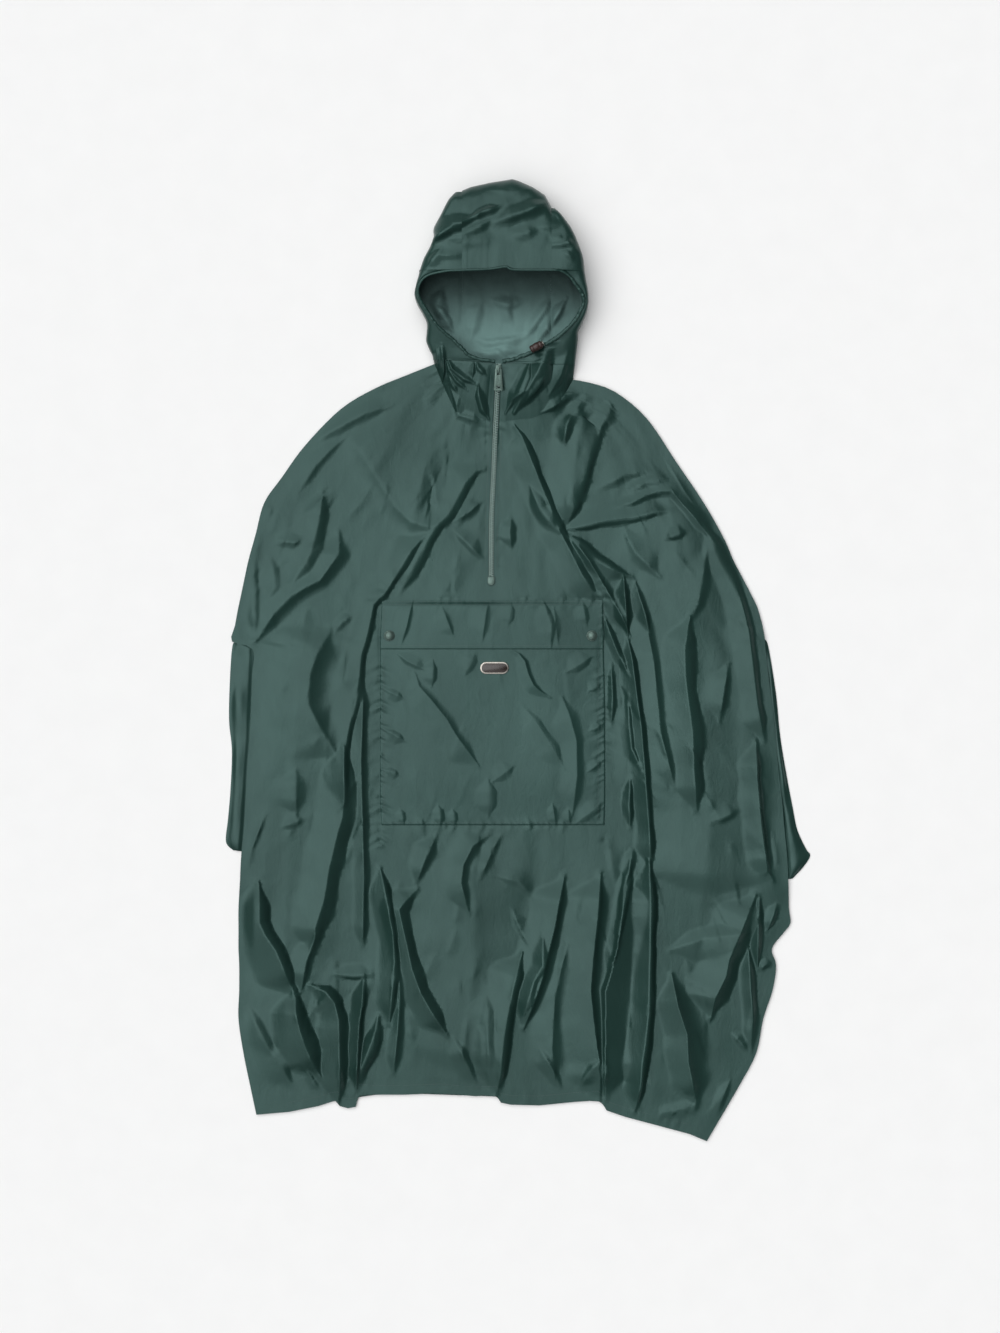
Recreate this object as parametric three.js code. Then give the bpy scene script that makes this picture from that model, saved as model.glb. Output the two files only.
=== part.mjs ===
// A hooded rain poncho of thin coated nylon, laid out flat on its back.
// Seen from above, +X is to the right, +Y runs from the hem to the hood and +Z is up.
// The origin is on the surface that the poncho lies on, at the middle of its outline.
// The back panel lies on that surface, the front panel lies on the back panel in soft folds,
// and the hood stands open like a bag on its back. All sizes are in millimetres.
import * as THREE from "three";

// Cloth and seams
const CLOTH = 1.6; // height of the front panel's wall, and thickness of the back panel
const HOOD_CLOTH = 1.5;
const TRIM_CLOTH = 1.1; // pocket, flap and side pieces
const SEAM = 0.3; // gap between two pieces that are sewn together or lie on each other
const STEP_ACROSS = 19; // widest cell of the front panel, across the garment
const STEP_ALONG = 27; // longest cell of the front panel, towards the hem

// Zip
const ZIP_SLOT = 8; // width of the slit that the zip fills
const ZIP_TOP_Y = 414;
const CHAIN_WIDTH = 6;
const CHAIN_HEIGHT = 1.7;
const TAPE_HEIGHT = 0.8;

// Pocket
const POCKET_FULLNESS = 2.2; // how far the bag stands off the front panel at its middle

// Hood
const HOOD_LEFT_SEAM_X = -78;
const HOOD_RIGHT_SEAM_X = 46;
const HOOD_RIM_Y = 541;
const HOOD_RIM_Z = 58; // height of the brim over the surface
const CROWN_EDGE_Z = 9; // height of the widest line round the crown

const clamp01 = (v) => Math.min(1, Math.max(0, v));
const lerp = (a, b, t) => a + (b - a) * t;
const smooth = (t) => clamp01(t) ** 2 * (3 - 2 * clamp01(t));
const mix = (p, q, t) => p.map((v, i) => lerp(v, q[i], t));
const distance = (p, q) => Math.hypot(p[0] - q[0], p[1] - q[1]);

// Reads a table of [at, value] rows, in rising order of at, with straight lines between the rows.
function look(table, at) {
  let i = 1;
  while (i < table.length - 1 && table[i][0] < at) i++;
  const [a, b] = [table[i - 1], table[i]];
  return lerp(a[1], b[1], clamp01((at - a[0]) / (b[0] - a[0])));
}

const cloth = (color, roughness) =>
  new THREE.MeshStandardMaterial({ color, roughness, metalness: 0, side: THREE.DoubleSide });
const MATERIALS = {
  shell: cloth(0x3f6059, 0.5),
  pocket: cloth(0x456660, 0.5),
  inside: cloth(0x5b7b76, 0.7),
  tape: cloth(0x35524c, 0.8),
  chain: new THREE.MeshStandardMaterial({ color: 0x8fa8a0, roughness: 0.4, metalness: 0.3 }),
  metal: new THREE.MeshStandardMaterial({ color: 0x6f8b82, roughness: 0.35, metalness: 0.7 }),
  steel: new THREE.MeshStandardMaterial({ color: 0xb9b6ae, roughness: 0.3, metalness: 1 }),
  enamel: new THREE.MeshStandardMaterial({ color: 0x2b2019, roughness: 0.3, metalness: 0.2 }),
  lock: new THREE.MeshStandardMaterial({ color: 0x33221f, roughness: 0.5, metalness: 0 }),
};

const poncho = new THREE.Group();
function add(name, geometry, material) {
  const mesh = new THREE.Mesh(geometry, MATERIALS[material]);
  mesh.name = name;
  poncho.add(mesh);
  return mesh;
}

// A closed wall between two grids of points, lower[row][col] and upper[row][col].
// Cells for which keep(row, col) is false are left open, as the slit for the zip is.
function wall(lower, upper, keep = () => true) {
  const rows = lower.length;
  const cols = lower[0].length;
  const points = [];
  for (const grid of [lower, upper]) grid.forEach((row) => row.forEach((p) => points.push(p)));
  const id = (side, r, c) => side * rows * cols + r * cols + c;
  const kept = (r, c) => r >= 0 && c >= 0 && r < rows - 1 && c < cols - 1 && keep(r, c);
  const index = [];
  const quad = (a, b, c, d) => index.push(a, b, c, a, c, d);
  // The four sides of a cell: where the next cell lies, and the side's two corners.
  const sides = [
    { next: [-1, 0], from: [0, 0], to: [0, 1] },
    { next: [1, 0], from: [1, 1], to: [1, 0] },
    { next: [0, -1], from: [1, 0], to: [0, 0] },
    { next: [0, 1], from: [0, 1], to: [1, 1] },
  ];
  for (let r = 0; r < rows - 1; r++) {
    for (let c = 0; c < cols - 1; c++) {
      if (!kept(r, c)) continue;
      quad(id(1, r, c), id(1, r + 1, c), id(1, r + 1, c + 1), id(1, r, c + 1));
      // The lower side is cut along the same diagonals, so that layers stay apart.
      index.push(id(0, r, c), id(0, r + 1, c + 1), id(0, r + 1, c));
      index.push(id(0, r, c), id(0, r, c + 1), id(0, r + 1, c + 1));
      sides.forEach(({ next, from, to }) => {
        if (kept(r + next[0], c + next[1])) return;
        const [a, b] = [from, to].map(([dr, dc]) => [r + dr, c + dc]);
        quad(id(0, ...a), id(1, ...a), id(1, ...b), id(0, ...b));
      });
    }
  }
  return closedGeometry(points, index);
}

// A geometry from points and triangles, turned so that its faces point out.
function closedGeometry(points, index) {
  let volume = 0;
  for (let i = 0; i < index.length; i += 3) {
    const [a, b, c] = [points[index[i]], points[index[i + 1]], points[index[i + 2]]];
    volume += a[0] * (b[1] * c[2] - b[2] * c[1]) - a[1] * (b[0] * c[2] - b[2] * c[0]);
    volume += a[2] * (b[0] * c[1] - b[1] * c[0]);
  }
  if (volume < 0) index.reverse();
  const geometry = new THREE.BufferGeometry();
  geometry.setAttribute("position", new THREE.Float32BufferAttribute(points.flat(), 3));
  geometry.setIndex(index);
  return geometry.toNonIndexed();
}

// Folds are listed as height, west, east and path. path runs from the neck towards the hem, or
// from left to right. height is the crest's rise, and west and east are the widths of its two
// flanks: on a fold that runs across, west is towards the hem and east towards the hood.
function namedFold([height, west, east, path]) {
  return { height, west, east, path };
}

// Folds of the front panel
const FOLDS = [
  // shoulders and chest, left
  [7, 24, 22, [[-150, 385], [-220, 352], [-285, 300], [-338, 226]]],
  [11, 30, 24, [[-300, 262], [-297, 220], [-300, 190], [-318, 150], [-340, 105]]],
  [13, 40, 24, [[-262, 175], [-262, 150], [-283, 118], [-318, 98], [-352, 62], [-372, 30]]],
  [6, 18, 18, [[-350, 165], [-347, 130], [-354, 92]]],
  [8, 20, 70, [[-215, 285], [-185, 245], [-160, 215], [-110, 200]]],
  [12, 26, 22, [[-52, 268], [-78, 242], [-102, 202], [-128, 168], [-150, 130], [-170, 92]]],
  [6, 18, 20, [[-100, 205], [-75, 214], [-45, 230]]],
  // chest, right: the folds that meet beside the zip
  [13, 17, 16, [[-5, 322], [18, 270], [40, 215], [58, 184], [88, 138], [115, 96]]],
  [14, 24, 28, [[92, 345], [80, 290], [68, 230], [62, 190]]],
  [8, 18, 26, [[70, 188], [130, 200], [200, 215]]],
  [8, 18, 28, [[130, 222], [175, 240], [215, 246]]],
  [9, 18, 18, [[66, 182], [105, 152], [140, 130], [165, 122]]],
  [9, 40, 18, [[258, 160], [254, 110], [246, 70]]],
  // right side, down to the crumpled edge
  [15, 17, 22, [[165, 112], [172, 60], [180, 10], [188, -50], [198, -120], [212, -170]]],
  [12, 28, 24, [[250, 75], [232, 40], [234, -20], [240, -90], [248, -150], [250, -195]]],
  [12, 30, 17, [[272, 165], [298, 110], [315, 60], [326, 10], [335, -50], [347, -110]]],
  [13, 17, 17, [[344, -130], [350, -200], [357, -260], [364, -310], [370, -355]]],
  [16, 18, 34, [[203, -230], [208, -400], [222, -490], [236, -560], [245, -625]]],
  [16, 55, 24, [[330, -335], [308, -385], [285, -430], [262, -465]]],
  [9, 18, 16, [[345, -400], [338, -450], [330, -500], [322, -540]]],
  [16, 24, 28, [[152, -300], [150, -420], [148, -500], [145, -560], [150, -630]]],
  [14, 30, 17, [[108, -240], [102, -340], [98, -440], [98, -540], [98, -614]]],
  // below the pocket
  [12, 30, 20, [[55, -300], [54, -350], [44, -400], [34, -450], [14, -505]]],
  [13, 34, 18, [[-2, -400], [-14, -450], [-22, -510], [-30, -575], [-30, -606]]],
  [8, 30, 20, [[-58, -440], [-50, -520], [-48, -590]]],
  [12, 18, 24, [[-166, -330], [-160, -395], [-145, -445], [-125, -490], [-105, -530], [-80, -590]]],
  [14, 18, 17, [[-165, -240], [-168, -320], [-166, -420], [-170, -500], [-166, -590]]],
  // left side
  [12, 45, 32, [[-235, 62], [-275, 28], [-292, -10], [-288, -60], [-262, -120]]],
  [14, 18, 17, [[-205, 50], [-216, 5], [-222, -60], [-226, -120],
    [-222, -180], [-214, -260], [-205, -400]]],
  [14, 40, 22, [[-240, -215], [-262, -262], [-272, -320], [-288, -372]]],
  [14, 45, 20, [[-368, -318], [-362, -368], [-345, -392], [-328, -430],
    [-314, -470], [-306, -520], [-290, -565]]],
  [17, 18, 17, [[-222, -440], [-226, -500], [-230, -560], [-236, -622]]],
  [6, 24, 20, [[-350, -500], [-330, -560], [-318, -590]]],
  // broad swells that the folds stand on
  [5, 90, 90, [[-120, 310], [-150, 200]]],
  [5, 60, 80, [[-300, 60], [-315, -150], [-325, -350], [-325, -560]]],
  [5, 90, 90, [[-60, -260], [-60, -420], [-80, -580]]],
  [8, 80, 90, [[210, 230], [240, 0], [270, -200], [260, -330]]],
  [11, 70, 60, [[-80, 372], [-34, 352], [30, 360], [70, 380]]],
].map(namedFold);

// Height of one fold over a place: a crest with hollow flanks, fading out at both ends of its path.
function foldRise(fold, x, y) {
  const along = fold.path.slice(1).map((b, i) => distance(b, fold.path[i]));
  const length = along.reduce((sum, v) => sum + v, 0);
  let best = null;
  let done = 0;
  along.forEach((size, i) => {
    const [a, b] = [fold.path[i], fold.path[i + 1]];
    const [dx, dy] = [(b[0] - a[0]) / size, (b[1] - a[1]) / size];
    const reach = (x - a[0]) * dx + (y - a[1]) * dy;
    const t = Math.min(size, Math.max(0, reach));
    const off = Math.hypot(x - a[0] - dx * t, y - a[1] - dy * t);
    const side = dx * (y - a[1]) - dy * (x - a[0]);
    if (!best || off < best.off) best = { off, side, at: (done + t) / length };
    done += size;
  });
  const flank = best.side > 0 ? fold.east : fold.west;
  if (best.off >= flank) return 0;
  const fade = smooth(Math.min(best.at, 1 - best.at) * 5 + 0.25);
  return fold.height * fade * (1 - best.off / flank) ** 1.6;
}

const foldedBy = (folds, x, y) => folds.reduce((sum, fold) => sum + foldRise(fold, x, y), 0);

// Places of the front panel's guide lines at each section, from the neck to the hem.
// left and right are the outline, pocketLeft and pocketRight run down the pocket's sides,
// zip is the middle of the zip and its line down to the hem, and fold follows the deepest fold.
// lift is 1 where the left and right edges are held up by the side pieces under them.
// Columns: left, pocketLeft, zip, pocketRight, fold, right, lift and, for some rows, a name.
const SECTIONS = [
  [[-117, 416], [-88, 352], [-31, 338], [18, 342], [52, 354], [77, 394], 0],
  [[-157, 400], [-98, 338], [-31.6, 326], [30, 331], [76, 347], [100, 390], 0],
  [[-200, 382], [-108, 322], [-32.3, 311], [41, 317], [97, 333], [136, 377], 0],
  [[-248, 353], [-119, 301], [-33, 291], [53, 295], [118, 311], [180, 340], 0],
  [[-298, 302], [-130, 273], [-34, 265], [65, 267], [138, 280], [222, 278], 0],
  [[-330, 258], [-143, 242], [-35.5, 236], [78, 236], [150, 242], [250, 237], 0],
  [[-355, 222], [-155, 206], [-37, 201], [90, 201], [157, 206], [270, 205], 0],
  [[-367, 178], [-167, 170], [-37.3, 166], [100, 166], [160, 170], [290, 168], 0],
  [[-377, 142], [-175, 142], [-37.4, 142], [107, 142], [160, 142], [301, 142], 0],
  [[-382, 119], [-182, 119], [-37.5, 119], [113, 119], [160, 119], [313, 119], 0, "zipEnd"],
  [[-389, 86], [-190, 86], [-37.5, 86], [118, 86], [159, 86], [330, 86], 0, "pocketTop"],
  [[-392, 72], [-191, 72], [-37.5, 72], [119, 72], [160, 72], [336, 72], 0, "pocketMouth"],
  [[-396, 50], [-192, 50], [-37.5, 50], [119, 50], [161, 50], [342, 50], 0],
  [[-400, 28], [-193, 32], [-37.5, 32], [120, 32], [163, 32], [345, 32], 1],
  [[-371, 17], [-193, 17], [-37.5, 17], [120, 17], [165, 17], [346, 17], 1, "flapEnd"],
  [[-372, -20], [-193, -20], [-37.5, -20], [121, -20], [168, -20], [350, -20], 1],
  [[-373, -60], [-193, -60], [-37, -60], [122, -60], [173, -60], [355, -60], 1],
  [[-375, -105], [-193, -105], [-37, -105], [122, -105], [177, -105], [360, -105], 1],
  [[-378, -150], [-193, -150], [-37, -150], [122, -150], [181, -150], [364, -150], 1],
  [[-381, -195], [-193, -195], [-37, -195], [122, -195], [184, -195], [369, -195], 1],
  [[-383, -229], [-191, -229], [-36.5, -229], [121, -229], [186, -229], [372, -229], 1, "pocketEnd"],
  [[-387, -270], [-188, -270], [-36, -270], [118, -270], [188, -270], [376, -270], 1],
  [[-389, -310], [-184, -310], [-36, -310], [115, -310], [189, -310], [378, -310], 1],
  [[-391, -345], [-180, -345], [-36, -345], [112, -345], [189, -345], [379, -345], 0],
  [[-391, -366], [-177, -366], [-36, -366], [111, -366], [189, -366], [381, -366], 0],
  [[-391, -382], [-175, -382], [-35, -382], [109, -382], [188, -382], [371, -380], 0],
  [[-391, -402], [-173, -402], [-34, -402], [108, -402], [188, -402], [355, -402], 0],
  [[-390, -425], [-172, -425], [-33, -425], [107, -425], [187, -425], [361, -425], 0],
  [[-390, -460], [-172, -460], [-31, -460], [107, -460], [186, -460], [356, -460], 0],
  [[-391, -500], [-174, -500], [-29, -500], [109, -500], [184, -500], [343, -500], 0],
  [[-384, -548], [-175, -545], [-27, -545], [112, -545], [180, -548], [333, -548], 0],
  [[-375, -592], [-177, -580], [-25, -580], [116, -588], [176, -600], [309, -594], 0],
  [[-366, -634], [-180, -606], [-23, -612], [120, -619], [172, -641], [264, -671], 0],
].map(([left, pocketLeft, zip, pocketRight, fold, right, lift, name]) =>
  ({ left, pocketLeft, zip, pocketRight, fold, right, lift, name }));

// The hem's line, with the tails of the folds that hang lower than the rest.
const HEM = [
  [-366, -634], [-320, -630], [-258, -615], [-250, -623], [-228, -624], [-222, -603], [-180, -607],
  [-110, -604], [-30, -607], [-22, -618], [30, -621], [110, -614], [120, -625], [180, -645], [240, -660], [264, -671],
];

// Cells between neighbouring guide lines, with the zip's slit as one narrow cell.
const BANDS = [
  { from: "left", to: "pocketLeft", width: 200 },
  { from: "pocketLeft", to: "zip", width: 150 },
  { from: "zip", to: "zip", width: ZIP_SLOT },
  { from: "zip", to: "pocketRight", width: 150 },
  { from: "pocketRight", to: "fold", width: 62 },
  { from: "fold", to: "right", width: 195 },
];

// The points of one section across the garment, from the left edge to the right one.
function across(section) {
  const points = [];
  let slitSide = -1;
  const place = (name, side) => {
    const [x, y] = section[name];
    return name === "zip" ? [x + (side * ZIP_SLOT) / 2, y] : [x, y];
  };
  BANDS.forEach((band) => {
    const cells = Math.max(1, Math.round(band.width / STEP_ACROSS));
    const from = place(band.from, slitSide);
    if (band.from === "zip" && band.to === "zip") slitSide = 1;
    const to = place(band.to, slitSide);
    for (let i = 0; i < cells; i++) points.push(mix(from, to, i / cells));
  });
  return [...points, section.right];
}

// The front panel's rows: the sections, and rows between them where they are far apart.
function frontRows() {
  const rows = [];
  const named = {};
  SECTIONS.forEach((section, i) => {
    if (section.name) named[section.name] = rows.length;
    const next = SECTIONS[i + 1];
    if (!next) {
      rows.push({ points: across(section).map(([x]) => [x, look(HEM, x)]), lift: 0 });
      return;
    }
    const steps = Math.max(1, Math.round(distance(next.zip, section.zip) / STEP_ALONG));
    const [near, far] = [across(section), across(next)];
    for (let k = 0; k < steps; k++) {
      const t = k / steps;
      const points = near.map((p, c) => mix(p, far[c], t));
      rows.push({ points, lift: lerp(section.lift, next.lift, t) });
    }
  });
  return { rows, named };
}

const { rows: FRONT, named: ROW } = frontRows();
const cellsUpTo = (count) =>
  BANDS.slice(0, count).reduce((sum, b) => sum + Math.max(1, Math.round(b.width / STEP_ACROSS)), 0);
const POCKET_FIRST = cellsUpTo(1);
const SLIT = cellsUpTo(2);
const POCKET_LAST = cellsUpTo(4);

const SIDE_ROLL = 26; // distance from an edge over which the front panel comes down to the surface
const HEM_ROLL = 60;
const EDGE_LIFT = TRIM_CLOTH + SEAM + 0.4;

// Underside of the front panel at row r and column c.
function frontUnder(r, c) {
  const { points, lift } = FRONT[r];
  const [x, y] = points[c];
  const toSide = Math.min(distance([x, y], points[0]), distance([x, y], points.at(-1)));
  const toHem = y - look(HEM, x);
  const share = smooth(0.06 + toSide / SIDE_ROLL) * (0.4 + 0.6 * smooth(toHem / HEM_ROLL));
  const held = lift * EDGE_LIFT * (1 - smooth((toSide - 30) / 30));
  return CLOTH + SEAM + held + foldedBy(FOLDS, x, y) * share;
}

const frontUnderside = FRONT.map(({ points }, r) => points.map(([x, y], c) => [x, y, frontUnder(r, c)]));
const raisedBy = (grid, by) => grid.map((row, r) => row.map(([x, y, z], c) => [x, y, z + by(r, c)]));
const raised = (grid, by) => raisedBy(grid, () => by);
const frontTop = raised(frontUnderside, CLOTH);

function frontPanel() {
  const isSlit = (r, c) => c === SLIT && r < ROW.zipEnd;
  add("front_panel", wall(frontUnderside, frontTop, (r, c) => !isSlit(r, c)), "shell");
}

// The back panel lies flat, a little inside the front panel's outline.
function backPanel() {
  const INSET = 7;
  const inward = ({ points }) => {
    const [l, r] = [points[0], points.at(-1)];
    return [[l[0] + INSET, l[1]], [r[0] - INSET, r[1]]];
  };
  const body = FRONT.slice(1, -2);
  const neckDrop = 3;
  const leftSide = body.map((row) => inward(row)[0]);
  const rightSide = body.map((row) => inward(row)[1]);
  const hem = HEM.map(([x, y]) => [Math.min(256, Math.max(-357, x)), y + INSET + (x > 260 ? 5 : 0)]);
  const neck = [[72, 394 - neckDrop], [-110, 416 - neckDrop]];
  const outline = [...leftSide, ...hem, ...rightSide.reverse(), ...neck];
  const shape = new THREE.Shape(outline.map(([x, y]) => new THREE.Vector2(x, y)));
  add("back_panel", new THREE.ExtrudeGeometry(shape, { depth: CLOTH, bevelEnabled: false }), "shell");
}

// A side piece: the part of the back that shows past the front panel's edge.
// Its inner edge lies between the two panels, and its outer part lies on the surface.
// rows give, from the hood side down, the place of its inner edge, the back panel's edge,
// its own crease and its outer edge.
function sidePiece(name, rows, creaseHeight) {
  const clear = 4; // from the back panel's edge to where the cloth reaches the surface
  const lower = rows.map(({ y, inner, panel, crease, outer }, i) => {
    const out = Math.sign(outer - inner);
    const bump = creaseHeight * Math.sin((Math.PI * (i + 0.5)) / rows.length);
    return [
      [inner, y[0], CLOTH + SEAM],
      [panel + 0.5 * out, y[0], CLOTH + SEAM],
      [panel + clear * out, y[0], 0],
      [lerp(panel + clear * out, outer, crease), lerp(y[0], y[1], crease), bump],
      [lerp(panel + clear * out, outer, (1 + crease) / 2), lerp(y[0], y[1], 0.8), bump * 0.2],
      [outer, y[1], 0],
    ];
  });
  add(name, wall(lower, raised(lower, TRIM_CLOTH)), "shell");
}

// Where the front panel's left or right edge is at a height on the garment.
const edgeX = (key, y) => look(SECTIONS.map((s) => [s[key][1], s[key][0]]).reverse(), y);
const PANEL_INSET = 7;

function sidePieces() {
  const left = [
    { y: [23, 26], outer: -396 },
    { y: [14, 19], outer: -400 },
    { y: [-18, -20], outer: -403 },
    { y: [-80, -80], outer: -404 },
    { y: [-125, -125], outer: -401 },
    { y: [-180, -180], outer: -403 },
    { y: [-220, -222], outer: -406 },
    { y: [-250, -252], outer: -408.8 },
    { y: [-268, -262], outer: -401 },
  ].map((row) => {
    const panel = edgeX("left", row.y[0]) + PANEL_INSET;
    return { ...row, panel, inner: panel + 14, crease: 0.4 };
  });
  sidePiece("side_left", left, 4.5);
  const right = [
    { y: [27, 31], outer: 344.5 },
    { y: [14, 20], outer: 350.5 },
    { y: [-40, -45], outer: 361 },
    { y: [-100, -105], outer: 368 },
    { y: [-150, -160], outer: 376 },
    { y: [-195, -205], outer: 384.5 },
    { y: [-228, -236], outer: 391 },
    { y: [-255, -262], outer: 403 },
    { y: [-275, -272], outer: 408.8 },
    { y: [-292, -288], outer: 399 },
    { y: [-306, -304], outer: 384 },
  ].map((row) => {
    const panel = edgeX("right", row.y[0]) - PANEL_INSET;
    return { ...row, panel, inner: panel - 14, crease: 0.35 };
  });
  sidePiece("side_right", right, 3);
}

// The pocket's bag and flap are the front panel's own cells, raised off it.
function pocketFullness(r, c) {
  const down = (r - ROW.pocketMouth) / (ROW.pocketEnd - ROW.pocketMouth);
  const over = (c - POCKET_FIRST) / (POCKET_LAST - POCKET_FIRST);
  return POCKET_FULLNESS * smooth(4 * Math.min(over, 1 - over)) * smooth(4 * (1 - down));
}

const cut = (grid, r0, r1, c0, c1) => grid.slice(r0, r1 + 1).map((row) => row.slice(c0, c1 + 1));

function pocket() {
  const bagUnder = raisedBy(frontTop, (r, c) => SEAM + pocketFullness(r, c));
  const bag = (grid) => cut(grid, ROW.pocketMouth, ROW.pocketEnd, POCKET_FIRST, POCKET_LAST);
  add("pocket_bag", wall(bag(bagUnder), bag(raised(bagUnder, TRIM_CLOTH))), "pocket");
  const flapUnder = raisedBy(frontTop, (r, c) =>
    r <= ROW.pocketTop ? SEAM : SEAM + TRIM_CLOTH + SEAM + pocketFullness(r, c));
  const flap = (grid) => cut(grid, ROW.pocketTop, ROW.flapEnd, POCKET_FIRST, POCKET_LAST);
  const flapTop = flap(raised(flapUnder, TRIM_CLOTH));
  add("pocket_flap", wall(flap(flapUnder), flapTop), "pocket");
  return { bagTop: bag(raised(bagUnder, TRIM_CLOTH)), flapTop };
}

// The height of a grid's surface at a place, from the nearest of its points.
function heightAt(grid, x, y, reach) {
  const near = grid.flat().filter((p) => Math.abs(p[0] - x) < reach[0] && Math.abs(p[1] - y) < reach[1]);
  return Math.max(...near.map((p) => p[2]));
}

// A press stud's cap: a low dome with a rolled rim.
function pressStud(name, x, y, grid) {
  const RADIUS = 7.5;
  const z = heightAt(grid, x, y, [20, 20]) + SEAM;
  const profile = [[0, 0], [6.4, 0], [RADIUS, 0.9], [7.2, 1.9], [5.9, 2], [4.2, 2.9], [0, 3.3]];
  const dome = new THREE.LatheGeometry(profile.map(([r, h]) => new THREE.Vector2(r, h)), 20);
  add(name, dome.rotateX(Math.PI / 2).translate(x, y, z), "metal");
}

// A plain oblong plate with round ends, in two layers: a metal frame and a dark face.
function plate(x, y, grid) {
  const oblong = (length, width) => {
    const shape = new THREE.Shape();
    const half = (length - width) / 2;
    shape.absarc(half, 0, width / 2, -Math.PI / 2, Math.PI / 2, false);
    shape.absarc(-half, 0, width / 2, Math.PI / 2, (3 * Math.PI) / 2, false);
    return shape;
  };
  const z = heightAt(grid, x, y, [24, 20]) + SEAM;
  const options = { bevelEnabled: false, curveSegments: 8 };
  const base = new THREE.ExtrudeGeometry(oblong(40, 17), { ...options, depth: 1.6 });
  add("plate_frame", base.translate(x, y, z), "steel");
  const face = new THREE.ExtrudeGeometry(oblong(36, 13), { ...options, depth: 0.5 });
  add("plate_face", face.translate(x, y, z + 1.6 + SEAM), "enamel");
}

// Collar: the two cloth pieces between the hood's opening and the front panel, beside the zip.
// Its upper edge leaves the zip's top and goes round to the side of the neck.
const COLLAR_TOP_Z = 19;
const COLLAR_SIDE_Z = 7;
const ZIP_TOP_X = -27;
const COLLAR_ROWS = 5;

// A collar piece between two rows of points, with the gathers of the drawn-in neck.
function collar(name, topEdge, bottomEdge, gathers) {
  const cols = topEdge.length;
  const lower = [];
  for (let r = 0; r <= COLLAR_ROWS; r++) {
    const t = r / COLLAR_ROWS;
    lower.push(topEdge.map((p, c) => {
      const [x, y, z] = mix(p, bottomEdge[c], t);
      const s = c / (cols - 1);
      const inside = Math.sin(Math.PI * t) * smooth(6 * Math.min(s, 1 - s));
      return [x, y, z + inside * gathers.height * Math.sin(Math.PI * s * gathers.count) ** 2];
    }));
  }
  add(name, wall(lower, raised(lower, HOOD_CLOTH)), "shell");
}

// The arch of a section over the hood or the collar: 1 in its middle and 0 at its side.
// A fullness of 2 is an ellipse, and more keeps the cloth level for longer.
const FULLNESS = 2.7;
const level = (share) => (1 - clamp01(share) ** FULLNESS) ** (1 / FULLNESS);

function collars() {
  const neck = frontUnderside[0];
  const leftEdge = neck.slice(0, SLIT + 1);
  const rightEdge = neck.slice(SLIT + 1);
  // side is -1 for the left collar and 1 for the right one
  const above = (edge, outer, side) => edge.map((p, c) => {
    const fromLeft = c / (edge.length - 1);
    const share = side < 0 ? 1 - fromLeft : fromLeft; // 0 at the zip and 1 at the neck's side
    const atZip = [ZIP_TOP_X + (side * ZIP_SLOT) / 2, ZIP_TOP_Y];
    const [x, y] = mix(atZip, outer, share);
    return [x, y, lerp(COLLAR_SIDE_Z, COLLAR_TOP_Z, level(share))];
  });
  const below = (edge) => edge.map(([x, y, z]) => [x, y + 1.3 * SEAM, z]);
  const left = above(leftEdge, [-118.5, 420], -1);
  collar("collar_left", left, below(leftEdge), { height: 6, count: 3 });
  const right = above(rightEdge, [79.5, 412], 1);
  collar("collar_right", right, below(rightEdge), { height: 7, count: 2 });
}

// Zip: tape and chain lie in the slit of the collar and front panel, between their two edges.
function zipLine() {
  const front = FRONT.slice(0, ROW.zipEnd + 1).map(({ points }, r) => {
    const [l, rr] = [points[SLIT], points[SLIT + 1]];
    const z = Math.max(frontUnderside[r][SLIT][2], frontUnderside[r][SLIT + 1][2]);
    return [(l[0] + rr[0]) / 2, l[1], z];
  });
  const top = [ZIP_TOP_X, ZIP_TOP_Y, COLLAR_TOP_Z];
  const collarPart = [0, 0.25, 0.5, 0.75].map((t) => mix(top, front[0], t));
  return [...collarPart, ...front];
}

function strip(line, width, z0, height) {
  const lower = line.map(([x, y, z]) => [-1, 0, 1].map((side) => [x + (side * width) / 2, y, z + z0]));
  return wall(lower, raised(lower, height));
}

function zip() {
  const line = zipLine();
  const tapeLine = line.map((p, i) => (i === line.length - 1 ? [p[0], p[1] + SEAM, p[2]] : p));
  add("zip_tape", strip(tapeLine, ZIP_SLOT - 2 * SEAM, 0, TAPE_HEIGHT), "tape");
  const chainLine = tapeLine.slice(0, -1).concat([mix(tapeLine.at(-2), tapeLine.at(-1), 0.55)]);
  add("zip_chain", strip(chainLine, CHAIN_WIDTH, TAPE_HEIGHT + SEAM, CHAIN_HEIGHT), "chain");
  return line;
}

// Draws a shape's outline, or a hole's, through its corners.
function trace(shape, corners) {
  corners.forEach(([x, y], i) => (i ? shape.lineTo(x, y) : shape.moveTo(x, y)));
}

// Slider: a body that rides on the chain, with an arched bridge that holds the pull.
// The bridge is drawn from the side, along Y, and is BRIDGE_WIDTH wide.
const SLIDER = { length: 12, width: 8.6, height: 2.2, down: 7 }; // down from the zip's top
const BRIDGE = { width: 2.6, length: 9, gap: 2.6, bar: 1.3 };
const PULL = { length: 30, headWidth: 9, tailWidth: 13, thick: 1.4, bar: 1.5, eye: 5, tilt: 0.06 };

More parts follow.
